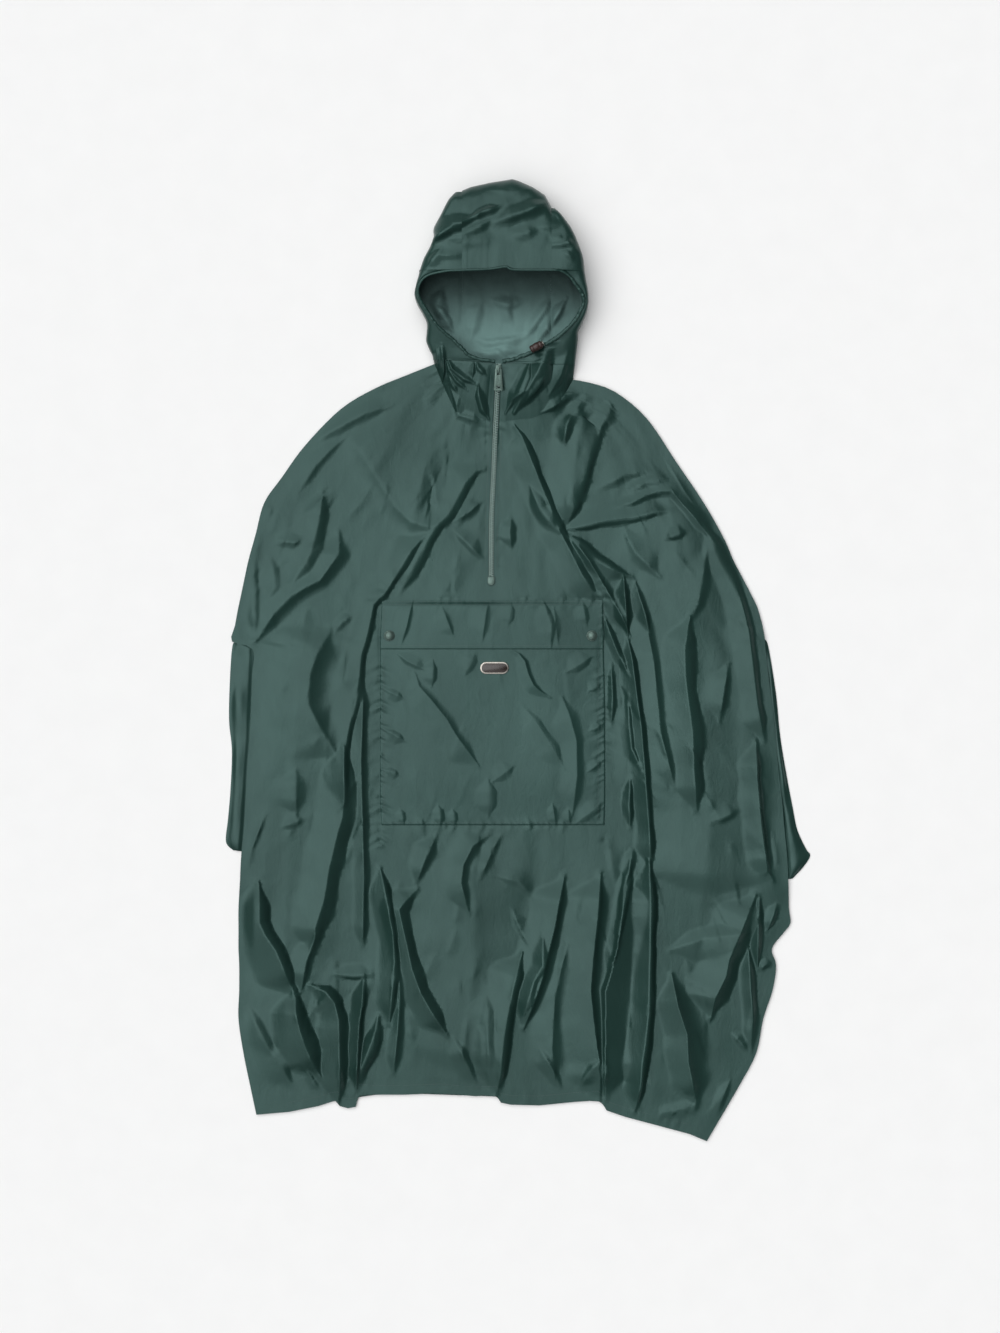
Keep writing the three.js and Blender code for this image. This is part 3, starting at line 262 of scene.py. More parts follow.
# Creases of the front panel, from the neck to the hem: route, drop, height and rise.
FRONT_FOLDS = Folds((
    # left shoulder and chest
    (((-180, 355), (-215, 345), (-240, 331), (-260, 322), (-297, 302)), 14, 3.5, 38),
    (((-115, 188), (-130, 188), (-150, 195), (-170, 215), (-190, 245), (-205, 270), (-220, 294),
      (-243, 315)), 24, 4.5, 70),
    (((-240, 315), (-265, 292), (-283, 272), (-305, 238)), 9, 2.4, 18),
    (((-273, 240), (-277, 200), (-286, 165), (-297, 138), (-316, 108)), 14, 5, 34),
    (((-250, 180), (-250, 150), (-276, 113), (-296, 103), (-316, 91), (-341, 66), (-366, 28)), 15, 6.5, 40),
    (((-349, 150), (-343, 130), (-341, 105), (-350, 85)), 10, 3, 18),
    (((-346, 220), (-350, 203)), 6, 3, 10),
    (((-303, 167), (-340, 167)), 5, 2.5, 12),
    (((-300, 174), (-322, 157)), 4, 2, 10),
    (((-355, 200), (-374, 150), (-371, 70), (-368, 30)), 9, 3, 16),
    (((-230, 64), (-245, 56), (-257, 40)), 5, 2.5, 10),
    (((-130, 175), (-150, 155), (-165, 130), (-178, 108), (-187, 95), (-202, 80), (-206, 60), (-213, 30),
      (-219, 10), (-222, -20), (-227, -50), (-232, -75), (-238, -100), (-243, -130), (-243, -160),
      (-241, -200)), 7, 6, 26),
    # chest beside the zip
    (((-46, 270), (-59, 266), (-75, 250), (-86, 228), (-97, 207), (-112, 192), (-127, 172), (-137, 152),
      (-152, 122), (-166, 95)), 11, 5.5, 32),
    (((-50, 224), (-70, 207), (-88, 196)), 8, 4, 15),
    (((-48, 142), (-60, 152), (-75, 168), (-92, 185)), 6, 3, 14),
    (((-5, 330), (5, 315), (15, 290), (25, 265), (35, 240), (45, 215), (55, 190), (62, 175), (75, 150),
      (90, 120), (105, 98), (118, 90)), 8, 8, 24),
    (((17, 244), (30, 212), (45, 192), (58, 180)), 12, 5, 10),
    (((100, 350), (88, 345), (84, 320), (77, 270), (68, 220), (60, 187)), 24, 8, 28),
    (((132, 372), (126, 345), (116, 330), (101, 280), (86, 230), (68, 190)), 8, 4, 16),
    (((215, 210), (190, 209), (160, 203), (125, 198), (100, 192), (66, 184)), 9, 6, 22),
    (((66, 180), (85, 165), (105, 143), (130, 128), (160, 118)), 10, 7, 14),
    (((70, 175), (85, 160), (100, 140), (115, 115), (130, 90), (145, 62), (158, 35)), 8, 6, 14),
    (((-10, 202), (-12, 180), (-10, 158)), 8, 4, 12),
    (((70, 385), (55, 368), (45, 356), (30, 348)), 7, 4, 14),
    (((78, 352), (68, 330), (64, 300)), 8, 5, 14),
    # right shoulder and side
    (((190, 268), (150, 262), (110, 240)), 8, 3, 22),
    (((215, 255), (182, 252), (150, 235)), 7, 3, 18),
    (((270, 170), (255, 190), (240, 208), (225, 225), (215, 238), (200, 238), (180, 232), (160, 222),
      (135, 215)), 8, 5, 24),
    (((235, 182), (205, 172)), 8, 4, 14),
    (((196, 118), (181, 134), (165, 150), (153, 173), (146, 190)), 14, 4.5, 20),
    (((148, 118), (150, 80), (154, 38)), 11, 12, 16),
    (((163, 115), (170, 90), (178, 65), (185, 40)), 8, 6, 12),
    (((264, 158), (258, 110), (252, 80), (238, 52)), 10, 4, 24),
    (((154, 32), (160, 0), (165, -40), (172, -90), (177, -150), (181, -200), (184, -240),
      (186, -290)), 7, 11, 18),
    (((176, 82), (182, 40), (190, 0), (195, -50), (200, -100), (210, -140), (220, -178)), 11, 5, 22),
    (((240, 62), (232, 20), (233, -20), (238, -60), (243, -100), (245, -150), (249, -208)), 16, 10, 26),
    (((295, -3), (290, -32), (282, -84)), 9, 5, 22),
    (((262, 190), (283, 160), (300, 125), (312, 85), (322, 45), (328, 0), (335, -60),
      (345, -112)), 8, 7, 22),
    (((333, -112), (334, -160), (338, -210), (343, -250), (349, -292), (357, -305)), 10, 10, 24),
    (((120, 65), (128, 40), (138, 15), (155, -20)), 7, 6, 10),
    (((130, 4), (132, -50), (130, -92)), 6, 5, 7),
    (((153, -45), (154, -90), (158, -122), (174, -155)), 6, 5, 12),
    (((157, -160), (155, -200), (157, -235)), 6, 7, 10),
    (((162, -258), (157, -285), (150, -312)), 6, 5, 10),
    (((308, -207), (270, -226)), 6, 3, 14),
    # left side
    (((-262, 42), (-280, 10), (-290, -20), (-292, -60), (-280, -84), (-252, -134)), 30, 6, 56),
    (((-243, -120), (-242, -180), (-245, -217), (-252, -240), (-264, -290), (-270, -330), (-283, -372),
      (-285, -408)), 16, 10, 32),
    (((-216, -30), (-217, -80), (-219, -140), (-217, -220), (-215, -300), (-217, -405)), 9, 6, 14),
    (((-310, -152), (-310, -214)), 16, 4, 30),
    (((-298, -220), (-330, -232)), 7, 2.5, 14),
    (((-350, -208), (-361, -235), (-373, -265), (-379, -300)), 6, 3, 16),
    # below the pocket, left
    (((-362, -310), (-361, -365), (-353, -382), (-338, -404), (-328, -427), (-314, -462)), 15, 13, 42),
    (((-282, -383), (-288, -400), (-295, -420), (-303, -462)), 8, 7, 20),
    (((-311, -458), (-310, -490), (-304, -515), (-296, -540), (-287, -560), (-277, -580)), 17, 16, 36),
    (((-297, -568), (-277, -600)), 5, 3, 10),
    (((-378, -478), (-365, -510), (-350, -540), (-335, -560), (-313, -597)), 9, 4, 24),
    (((-200, -437), (-230, -439), (-262, -437)), 6, 4, 14),
    (((-290, -452), (-268, -462), (-256, -476), (-250, -500), (-249, -560), (-252, -622)), 12, 14, 26),
    (((-214, -438), (-217, -480), (-221, -505), (-224, -560), (-226, -602)), 5, 12, 15),
    (((-196, -494), (-199, -515), (-210, -545), (-220, -570), (-226, -602)), 13, 9, 9),
    (((-193, -288), (-186, -320), (-181, -350), (-175, -380), (-173, -420), (-178, -480),
      (-180, -508)), 8, 11, 20),
    (((-166, -420), (-165, -470), (-168, -520), (-175, -586)), 10, 6, 12),
    (((-140, -318), (-157, -335), (-166, -346), (-161, -370), (-154, -400), (-148, -430), (-136, -462),
      (-122, -487), (-99, -522)), 14, 11, 24),
    (((-90, -525), (-80, -545), (-58, -592)), 8, 4, 18),
    (((-114, -243), (-123, -265), (-134, -290), (-143, -312)), 10, 6, 20),
    (((-40, -243), (-63, -258), (-76, -284), (-79, -310), (-68, -352)), 12, 6, 26),
    (((-20, -238), (-33, -260), (-54, -307)), 6, 3, 14),
    (((22, -332), (0, -309), (-32, -299)), 7, 2.5, 16),
    (((17, -402), (0, -369), (-10, -344)), 7, 2.5, 14),
    (((6, -408), (-1, -430), (-8, -460), (-14, -490), (-19, -520), (-26, -580), (-31, -608)), 10, 12, 32),
    (((65, -303), (57, -340), (52, -370), (42, -410), (35, -440), (25, -470), (9, -512)), 12, 12, 34),
    (((35, -378), (34, -425), (22, -446), (5, -503)), 8, 5, 14),
    (((70, -393), (60, -430), (52, -470), (48, -540), (52, -592)), 16, 5, 26),
    (((-49, -458), (-44, -500), (-40, -582)), 12, 4, 24),
    # below the pocket, right: the panel's right part overlaps here
    (((116, -300), (113, -345), (109, -380), (105, -420), (102, -460), (106, -500), (111, -540),
      (115, -560), (115, -612)), 13, 12, 40),
    (((121, -612), (121, -550), (121, -460), (128, -438), (138, -400), (143, -360),
      (148, -300)), 5, 12, 30),
    (((157, -278), (154, -310), (148, -340), (140, -380), (133, -410), (124, -440)), 6, 6, 12),
    (((30, -538), (55, -582), (62, -603)), 6, 3, 14),
    (((85, -597), (100, -575), (116, -554)), 7, 4, 12),
    (((183, -278), (185, -340), (184, -400), (182, -490), (177, -535), (173, -560), (171, -590),
      (163, -630)), 10, 15, 22),
    (((320, -378), (262, -386), (212, -403)), 62, 11, 30),
    (((332, -328), (318, -360), (306, -390), (295, -415), (290, -440), (275, -470),
      (270, -498)), 20, 14, 40),
    (((215, -438), (223, -480), (236, -520), (238, -560), (250, -618)), 30, 13, 26),
    (((338, -322), (336, -360), (335, -432)), 8, 8, 10),
    (((363, -338), (348, -377)), 6, 5, 9),
    (((322, -398), (325, -460), (329, -500), (326, -550)), 8, 8, 12),
    (((357, -419), (336, -431)), 5, 4, 9),
    (((296, -588), (285, -615), (280, -638)), 6, 4, 12),
    (((262, -622), (240, -625), (200, -633), (180, -632)), 6, 4, 10),
    (((322, -546), (298, -519)), 5, 3, 10),
    # broad swells that the creases stand on
    (((-120, 310), (-150, 200)), 90, 5, 90),
    (((-300, 60), (-315, -150), (-325, -350), (-325, -560)), 80, 4, 60),
    (((-60, -260), (-60, -420), (-80, -580)), 90, 4, 90),
    (((210, 230), (240, 0), (270, -200), (260, -330)), 90, 6, 80),
    (((-80, 372), (-34, 352), (30, 360), (70, 380)), 60, 9, 70),
))

# Creases of the pocket's bag.
POCKET_FOLDS = Folds((
    (((-10, 17), (2, 10), (10, 0), (15, -18), (22, -33), (32, -42), (45, -50)), 7, 3, 14),
    (((-130, -12), (-155, 0), (-170, 12)), 7, 2, 14),
    (((-143, -18), (-138, -35), (-120, -55), (-100, -80), (-85, -105), (-55, -145)), 10, 3, 28),
    (((5, -60), (25, -85), (45, -115), (65, -150)), 9, 1.6, 22),
    (((62, -50), (72, -75), (82, -110), (83, -160), (76, -215)), 12, 3, 22),
    (((-5, -145), (-35, -168)), 8, 1.6, 16),
    (((-42, -165), (-42, -217)), 13, 2, 18),
    (((105, 8), (80, -8), (68, -15)), 7, 2, 14),
    (((-119, 2), (-121, -35)), 7, 2, 14),
    (((-60, 12), (-75, -20)), 9, 1.4, 18),
    (((-165, -205), (-160, -228)), 6, 1.6, 8),
    (((-112, -200), (-108, -229)), 7, 1.8, 9),
    (((-92, -206), (-88, -229)), 6, 1.5, 8),
    (((48, -198), (53, -229)), 7, 1.8, 9),
    (((70, -204), (72, -229)), 6, 1.4, 8),
    (((120, -195), (82, -226)), 8, 2, 12),
    (((-186, -40), (-160, -52)), 6, 1.6, 9),
    (((-187, -95), (-158, -112)), 6, 1.8, 9),
    (((-187, -150), (-166, -160)), 5, 1.4, 8),
    (((116, -30), (98, -42)), 5, 1.4, 8),
    (((118, -88), (100, -97)), 5, 1.5, 8),
    (((118, -140), (97, -155)), 6, 1.8, 9),
))

# Creases of the pocket's flap.
FLAP_FOLDS = Folds((
    (((-147, 86), (-155, 50), (-163, 24)), 8, 2, 18),
    (((-106, 76), (-90, 35)), 8, 1.6, 18),
    (((-42, 86), (-50, 28)), 9, 1.6, 22),
    (((35, 86), (46, 50), (46, 20)), 8, 2, 20),
    (((50, 76), (56, 24)), 6, 1.2, 10),
    (((90, 84), (96, 50)), 6, 1.4, 14),
    (((-10, 82), (-14, 50)), 7, 1.2, 14),
))

Section = namedtuple("Section", "left pocket_left zip pocket_right fold right lift")
# Guide lines of the front panel at each section, from the neck to the hem, as in the solids. The
# lift is 1 where the panel's side edges lie over the side pieces.
SECTIONS = [Section(*row) for row in (
    ((-117, 416), (-88, 352), (-31, 338), (18, 342), (52, 354), (77, 394), 0),
    ((-157, 400), (-98, 338), (-31.6, 326), (30, 331), (76, 347), (100, 390), 0),
    ((-200, 382), (-108, 322), (-32.3, 311), (41, 317), (97, 333), (136, 377), 0),
    ((-248, 353), (-119, 301), (-33, 291), (53, 295), (118, 311), (180, 340), 0),
    ((-298, 302), (-130, 273), (-34, 265), (65, 267), (138, 280), (222, 278), 0),
    ((-330, 258), (-143, 242), (-35.5, 236), (78, 236), (150, 242), (250, 237), 0),
    ((-355, 222), (-155, 206), (-37, 201), (90, 201), (157, 206), (270, 205), 0),
    ((-367, 178), (-167, 170), (-37.3, 166), (100, 166), (160, 170), (290, 168), 0),
    ((-377, 142), (-175, 142), (-37.4, 142), (107, 142), (160, 142), (301, 142), 0),
    ((-382, 119), (-182, 119), (-37.5, 119), (113, 119), (160, 119), (313, 119), 0),
    ((-389, 86), (-190, 86), (-37.5, 86), (118, 86), (159, 86), (330, 86), 0),
    ((-392, 72), (-191, 72), (-37.5, 72), (119, 72), (160, 72), (336, 72), 0),
    ((-396, 50), (-192, 50), (-37.5, 50), (119, 50), (161, 50), (342, 50), 0),
    ((-400, 28), (-193, 32), (-37.5, 32), (120, 32), (163, 32), (345, 32), 1),
    ((-371, 17), (-193, 17), (-37.5, 17), (120, 17), (165, 17), (346, 17), 1),
    ((-372, -20), (-193, -20), (-37.5, -20), (121, -20), (168, -20), (350, -20), 1),
    ((-373, -60), (-193, -60), (-37, -60), (122, -60), (173, -60), (355, -60), 1),
    ((-375, -105), (-193, -105), (-37, -105), (122, -105), (177, -105), (360, -105), 1),
    ((-378, -150), (-193, -150), (-37, -150), (122, -150), (181, -150), (364, -150), 1),
    ((-381, -195), (-193, -195), (-37, -195), (122, -195), (184, -195), (369, -195), 1),
    ((-383, -229), (-191, -229), (-36.5, -229), (121, -229), (186, -229), (372, -229), 1),
    ((-387, -270), (-188, -270), (-36, -270), (118, -270), (188, -270), (376, -270), 1),
    ((-389, -310), (-184, -310), (-36, -310), (115, -310), (189, -310), (378, -310), 1),
    ((-391, -345), (-180, -345), (-36, -345), (112, -345), (189, -345), (379, -345), 0),
    ((-391, -366), (-177, -366), (-36, -366), (111, -366), (189, -366), (381, -366), 0),
    ((-391, -382), (-175, -382), (-35, -382), (109, -382), (188, -382), (371, -380), 0),
    ((-391, -402), (-173, -402), (-34, -402), (108, -402), (188, -402), (355, -402), 0),
    ((-390, -425), (-172, -425), (-33, -425), (107, -425), (187, -425), (361, -425), 0),
    ((-390, -460), (-172, -460), (-31, -460), (107, -460), (186, -460), (356, -460), 0),
    ((-391, -500), (-174, -500), (-29, -500), (109, -500), (184, -500), (343, -500), 0),
    ((-384, -548), (-175, -545), (-27, -545), (112, -545), (180, -548), (333, -548), 0),
    ((-375, -592), (-177, -580), (-25, -580), (116, -588), (176, -600), (309, -594), 0),
    ((-366, -634), (-180, -606), (-23, -612), (120, -619), (172, -641), (264, -671), 0),
)]
ZIP_END_SECTION = 9
FLAP_TOP_SECTION, POCKET_MOUTH_SECTION, FLAP_END_SECTION, POCKET_END_SECTION = 10, 11, 14, 20
ZIP_SLOT = 8
BANDS = (
    ("left", "pocket_left", 200), ("pocket_left", "zip", 150), ("zip", "zip", ZIP_SLOT),
    ("zip", "pocket_right", 150), ("pocket_right", "fold", 62), ("fold", "right", 195))

# The hem's line, with the tails of the folds that hang lower than the rest.
HEM = [
    (-366, -634), (-320, -630), (-280, -622), (-258, -615), (-251, -614), (-249, -622), (-238, -625),
    (-227, -623), (-223, -604), (-200, -606), (-160, -606), (-110, -604), (-60, -608), (-30, -607),
    (-24, -617), (-10, -620), (30, -621), (80, -616), (112, -614), (119, -620), (124, -628), (150, -637),
    (180, -645), (210, -653), (240, -661), (264, -671),
]


def section_at(s):
    """Guide points of the front panel at a place between the sections, counted from 0 at the neck."""
    flat = rounded(FLAT_SECTIONS, s)
    points = [(flat[i], flat[i + 1]) for i in range(0, 12, 2)]
    return Section(*points, clamp01(flat[12]))


FLAT_SECTIONS = [tuple(v for p in row[:6] for v in p) + (row.lift,) for row in SECTIONS]


def across(section, step):
    """Places of one row of the front panel's cloth, and the number of the column at the zip's slit."""
    points = []
    side = -1
    slit = 0
    for start, end, width in BANDS:
        is_slit = start == end
        cells = 1 if is_slit else max(1, round(width / step))
        x0, y0 = getattr(section, start)
        a = (x0 + side * ZIP_SLOT / 2, y0) if start == "zip" else (x0, y0)
        if is_slit:
            slit = len(points)
            side = 1
        x1, y1 = getattr(section, end)
        b = (x1 + side * ZIP_SLOT / 2, y1) if end == "zip" else (x1, y1)
        points += [mix(a, b, i / cells) for i in range(cells)]
    return [*points, section.right], slit


def facets(u, v, seed):
    """Height of a crumpled sheet: flat triangles about 1 wide, with straight creases between them."""
    a, b = u - v * 0.577, v * 1.155
    i, j = math.floor(a), math.floor(b)
    a, b = a - i, b - j
    east, north = lattice(i + 1, j, seed), lattice(i, j + 1, seed)
    if a + b < 1:
        return lattice(i, j, seed) * (1 - a - b) + east * a + north * b
    return lattice(i + 1, j + 1, seed) * (a + b - 1) + east * (1 - b) + north * (1 - a)


HANG_FROM = (-25, 600)  # place by the hood from which the cloth's small creases run


def unevenness(x, y):
    """Broad swells and small creases of the cloth between its folds."""
    s = sizes()
    broad = noise.noise(Vector((x * 0.011, y * 0.0055, 3.1)))
    bend = noise.noise(Vector((x * 0.02, y * 0.012, 12.4)))
    dx, dy = x - HANG_FROM[0], HANG_FROM[1] - y
    round_way = math.atan2(dx, dy) * 520 + 26 * bend
    down_way = math.hypot(dx, dy) + 30 * bend
    large = facets(round_way / 52, down_way / 120, 1)
    small = facets(round_way / 23 + 0.5 * large, down_way / 64, 2)
    tiny = facets(round_way / 11, down_way / 27 + 0.4 * small, 3)
    return s.swell * broad + s.crinkle * (2.6 * large + small + 0.3 * tiny)


def small_creases():
    """Short creases over the whole front, most of them running away from the neck."""
    rows = []
    for k in range(330):
        x, y, turn, size, way = (lattice(k, n, 21) for n in range(5))
        x, y = 390 * x - 10, 520 * y - 130
        if noise.noise(Vector((x * 0.008, y * 0.006, 7.7))) < -0.1:
            continue
        heading = math.atan2(HANG_FROM[1] - y, HANG_FROM[0] - x) + math.pi + 0.5 * turn
        if way > 0.4:
            heading += math.pi
        length = 50 + 34 * size
        route = [(x, y)]
        for bend in (0.16 * size, -0.2 * turn, 0.2 * way):
            x += length / 3 * math.cos(heading + bend)
            y += length / 3 * math.sin(heading + bend)
            route.append((x, y))
        drop = 3.4 + 1.8 * way
        rows.append((route, drop, drop * (0.2 + 0.12 * size), 12 + 5 * size))
    return Folds(rows)


SMALL_FOLDS = small_creases()

POCKET_BOX = (-193, 121, -230, 88)
ZIP_X = -35
ZIP_FOOT_Y = 110


def in_pocket(x, y):
    """1 well inside the pocket's outline, 0 outside it."""
    low_x, high_x, low_y, high_y = POCKET_BOX
    return smooth(min(x - low_x, high_x - x, y - low_y, high_y - y) / 14)


# Gathers of the neck, over the hood's lower part, the collar and the top of the front.
NECK_FOLDS = Folds((
    (((-106, 446), (-104, 425), (-103, 405), (-107, 384)), 5, 6, 9),
    (((-113, 440), (-112, 415), (-114, 392)), 5, 4, 6),
    (((-70, 378), (-86, 390), (-96, 405), (-102, 424)), 5, 5, 7),
    (((-55, 385), (-76, 394), (-92, 408), (-100, 426)), 5, 5, 7),
    (((-84, 374), (-92, 386), (-98, 402)), 4, 3.5, 5),
    (((-40, 330), (-62, 337), (-83, 344), (-88, 364), (-97, 388)), 4, 3, 10),
    (((-40, 338), (-49, 352), (-54, 370), (-56, 386)), 6, 6, 8),
    (((-62, 418), (-64, 396)), 4, 3, 6),
    (((-44, 398), (-55, 408), (-58, 418)), 4, 3, 5),
    (((-118, 350), (-124, 368), (-112, 384), (-96, 388)), 7, 2.5, 12),
    (((46, 447), (37, 426), (27, 402), (15, 382), (3, 364), (-6, 348)), 18, 12, 14),
    (((18, 422), (10, 398), (2, 380), (-9, 362), (-18, 346)), 8, 6, 9),
    (((38, 398), (26, 378), (12, 364)), 4, 3.5, 6),
    (((12, 376), (-4, 368), (-14, 361)), 4, 3, 6),
    (((82, 380), (66, 366), (50, 355), (34, 348)), 7, 6, 10),
    (((70, 432), (60, 400), (44, 372)), 6, 3, 14),
    (((96, 372), (84, 356), (70, 330), (64, 300)), 8, 4, 14),
))


SEAM_FULLNESS = 1.3  # height of the gathers beside a seam
POCKET_SIDE_FULLNESS = 2.2  # what the pocket's sides add to it, low down


def pucker(along, away, seed, fullness=SEAM_FULLNESS):
    """A seam's groove and the small gathers beside it."""
    away = abs(away)
    if away > 30:
        return 0.0
    gather = noise.noise(Vector((along * 0.15 + away * 0.07, away * 0.03, seed)))
    return fullness * gather * math.exp(-away / 7) - 0.45 * math.exp(-(away / 1.6) ** 2)


def seams(x, y):
    """Rise of the front by its seams: round the pocket, beside the zip and along the hem."""
    low_x, high_x, low_y, high_y = POCKET_BOX
    rise = pucker(x, y - look(HEM, x) - sizes().hem, 11.0)
    if low_y - 30 < y < high_y + 30:
        gathered = SEAM_FULLNESS + POCKET_SIDE_FULLNESS * smooth((20 - y) / 60)
        rise += sum(pucker(y, x - edge, edge, gathered) for edge in (low_x, high_x))
    if low_x - 30 < x < high_x + 30:
        rise += sum(pucker(x, y - edge, edge) for edge in (low_y, high_y))
    if y > ZIP_FOOT_Y:
        rise += pucker(y, abs(x - ZIP_X) - 9, math.copysign(3, x - ZIP_X))
    return rise


def front_z(x, y, to_side=1e3, lift=0):
    """Height of the front panel's upper face; to_side is the distance from its nearer side edge."""
    to_hem = y - look(HEM, x)
    share = smooth(0.06 + to_side / SIDE_ROLL) * (0.4 + 0.6 * smooth(to_hem / HEM_ROLL))
    held = lift * (TRIM_CLOTH + SEAM + 0.4) * (1 - smooth((to_side - 30) / 30))
    rise = FRONT_FOLDS.at(x, y) + (unevenness(x, y) + SMALL_FOLDS.at(x, y)) * (1 - 0.7 * in_pocket(x, y))
    rise += seams(x, y)
    if y > 290:
        rise += NECK_FOLDS.at(x, y)
    return FRONT_BASE + held + max(-0.9, rise) * share


def cloth_rows(step):
    """Rows of the front panel's cloth, the column that the zip's slit takes and how many rows it takes.

    A place in a row is x, y, the distance from the nearer side edge, and the lift there."""
    rows = []
    for i, (here, below) in enumerate(zip(SECTIONS, SECTIONS[1:])):
        if i == ZIP_END_SECTION:
            slit_rows = len(rows)
        count = max(1, round(math.dist(here.zip, below.zip) / step))
        for k in range(count):
            section = section_at(i + k / count)
            rows.append((*across(section, step), section.lift))
    slit = rows[0][1]
    hem = [x for x, _ in across(SECTIONS[-1], step)[0]]
    for corner, _ in HEM:
        nearest = min(range(len(hem)), key=lambda i: abs(hem[i] - corner))
        hem[nearest] = corner
    rows.append(([(x, look(HEM, x)) for x in hem], slit, 0))
    cloth = []
    for points, _, lift in rows:
        left, right = points[0], points[-1]
        row = []
        for x, y in points:
            to_side = min(math.dist((x, y), left), math.dist((x, y), right))
            row.append((x, y, to_side, lift))
        cloth.append(row)
    return cloth, slit, slit_rows


def cut_slit(bm, columns, column, rows):
    """Takes the first rows of one column of cells out of a new sheet."""
    bm.verts.index_update()
    gone = []
    for face in bm.faces:
        corner = min(v.index for v in face.verts)
        if corner % columns == column and corner // columns < rows:
            gone.append(face)
    bmesh.ops.delete(bm, geom=gone, context="FACES")


def new_sheet(rows, upwards=True):
    """A bmesh sheet through rows of (x, y, z) in millimetres."""
    bm = bmesh.new()
    columns = len(rows[0])
    bmesh.ops.create_grid(bm, x_segments=columns - 1, y_segments=len(rows) - 1, size=1, calc_uvs=False)
    bm.verts.ensure_lookup_table()
    for r, row in enumerate(rows):
        for c, (x, y, z) in enumerate(row):
            bm.verts[r * columns + c].co = (x * MM, y * MM, z * MM)
    bm.normal_update()
    facing = sum(f.normal.z for f in bm.faces)
    if (facing > 0) != upwards:
        bmesh.ops.reverse_faces(bm, faces=bm.faces)
    return bm


def refine(bm, limits, height):
    """Halves a sheet's cells where it bends by more than each of the limits in turn, in degrees."""
    for limit in limits:
        bent = {
            f for e in bm.edges if e.calc_face_angle(0) > math.radians(limit) for f in e.link_faces}
        edges = list({e for f in bent for e in f.edges})
        before = set(bm.verts)
        bmesh.ops.subdivide_edges(bm, edges=edges, cuts=1, use_grid_fill=True)
        for vert in bm.verts:
            if vert not in before:
                vert.co.z = height(vert) * MM


def turn_down_edges(bm, depth):
    """Gives a sheet's free edges the thickness of the cloth."""
    edges = [e for e in bm.edges if e.is_boundary]
    for edge in edges:
        edge.smooth = False
    made = bmesh.ops.extrude_edge_only(bm, edges=edges)
    verts = [v for v in made["geom"] if isinstance(v, bmesh.types.BMVert)]
    bmesh.ops.translate(bm, verts=verts, vec=(0, 0, -depth * MM))


def piece(name, bm, material, body=GARMENT, replaces=(), is_smooth=True):
    """Finishes a bmesh as a piece of the poncho that rides on a body."""
    mesh = bpy.data.meshes.new(name)
    bm.to_mesh(mesh)
    bm.free()
    mesh.polygons.foreach_set("use_smooth", [is_smooth] * len(mesh.polygons))
    mesh.materials.append(material)
    made = bpy.data.objects.new(name, mesh)
    bpy.context.scene.collection.objects.link(made)
    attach(made, body)
    if replaces:
        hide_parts(*replaces)
    return made


def thicken(made, thickness, offset=-1):
    solid = made.modifiers.new("Cloth", "SOLIDIFY")
    solid.thickness = thickness * MM
    solid.offset = offset
    return solid


# Materials

def crinkle_group():
    """Node group: tone and height of crinkled nylon, over Object coordinates in metres."""
    name = "crinkled_nylon"
    if name in bpy.data.node_groups:
        return bpy.data.node_groups[name]
    group = bpy.data.node_groups.new(name, "ShaderNodeTree")
    socket = group.interface.new_socket
    socket("Crinkle", in_out="INPUT", socket_type="NodeSocketFloat").default_value = 1
    socket("Weave", in_out="INPUT", socket_type="NodeSocketFloat").default_value = 1
    socket("Tone", in_out="OUTPUT", socket_type="NodeSocketFloat")
    socket("Height", in_out="OUTPUT", socket_type="NodeSocketFloat")
    nodes, links = group.nodes, group.links
    inputs = nodes.new("NodeGroupInput")
    outputs = nodes.new("NodeGroupOutput")
    place = nodes.new("ShaderNodeTexCoord")

    def noise_at(scale, detail, stretch, distortion=0.0):
        mapping = nodes.new("ShaderNodeMapping")
        mapping.inputs["Scale"].default_value = stretch
        links.new(place.outputs["Object"], mapping.inputs["Vector"])
        made = nodes.new("ShaderNodeTexNoise")
        made.inputs["Scale"].default_value = scale
        made.inputs["Detail"].default_value = detail
        made.inputs["Distortion"].default_value = distortion
        links.new(mapping.outputs["Vector"], made.inputs["Vector"])
        return made.outputs["Fac"]

    def maths(operation, a, b):
        made = nodes.new("ShaderNodeMath")
        made.operation = operation
        for socket_in, value in zip(made.inputs, (a, b)):
            if isinstance(value, (int, float)):
                socket_in.default_value = value
            else:
                links.new(value, socket_in)
        return made.outputs[0]

    broad = noise_at(7, 3, (1, 0.6, 1))
    small = noise_at(70, 5, (1, 0.45, 1), 0.6)
    crease = maths("ABSOLUTE", maths("SUBTRACT", small, 0.5), 0)
    lines = maths("SUBTRACT", 0.25, maths("MINIMUM", crease, 0.25))
    yarns = []
    for axis in ("X", "Y"):
        wave = nodes.new("ShaderNodeTexWave")
        wave.bands_direction = axis
        wave.inputs["Scale"].default_value = 900
        links.new(place.outputs["Object"], wave.inputs["Vector"])
        yarns.append(wave.outputs["Fac"])
    weave = maths("MULTIPLY", maths("ADD", *yarns), maths("MULTIPLY", inputs.outputs["Weave"], 0.01))
    height = maths("ADD", maths("MULTIPLY", lines, inputs.outputs["Crinkle"]), weave)
    tone = maths("ADD", maths("MULTIPLY", broad, 0.55), maths("MULTIPLY", small, 0.25))
    links.new(tone, outputs.inputs["Tone"])
    links.new(height, outputs.inputs["Height"])
    return group


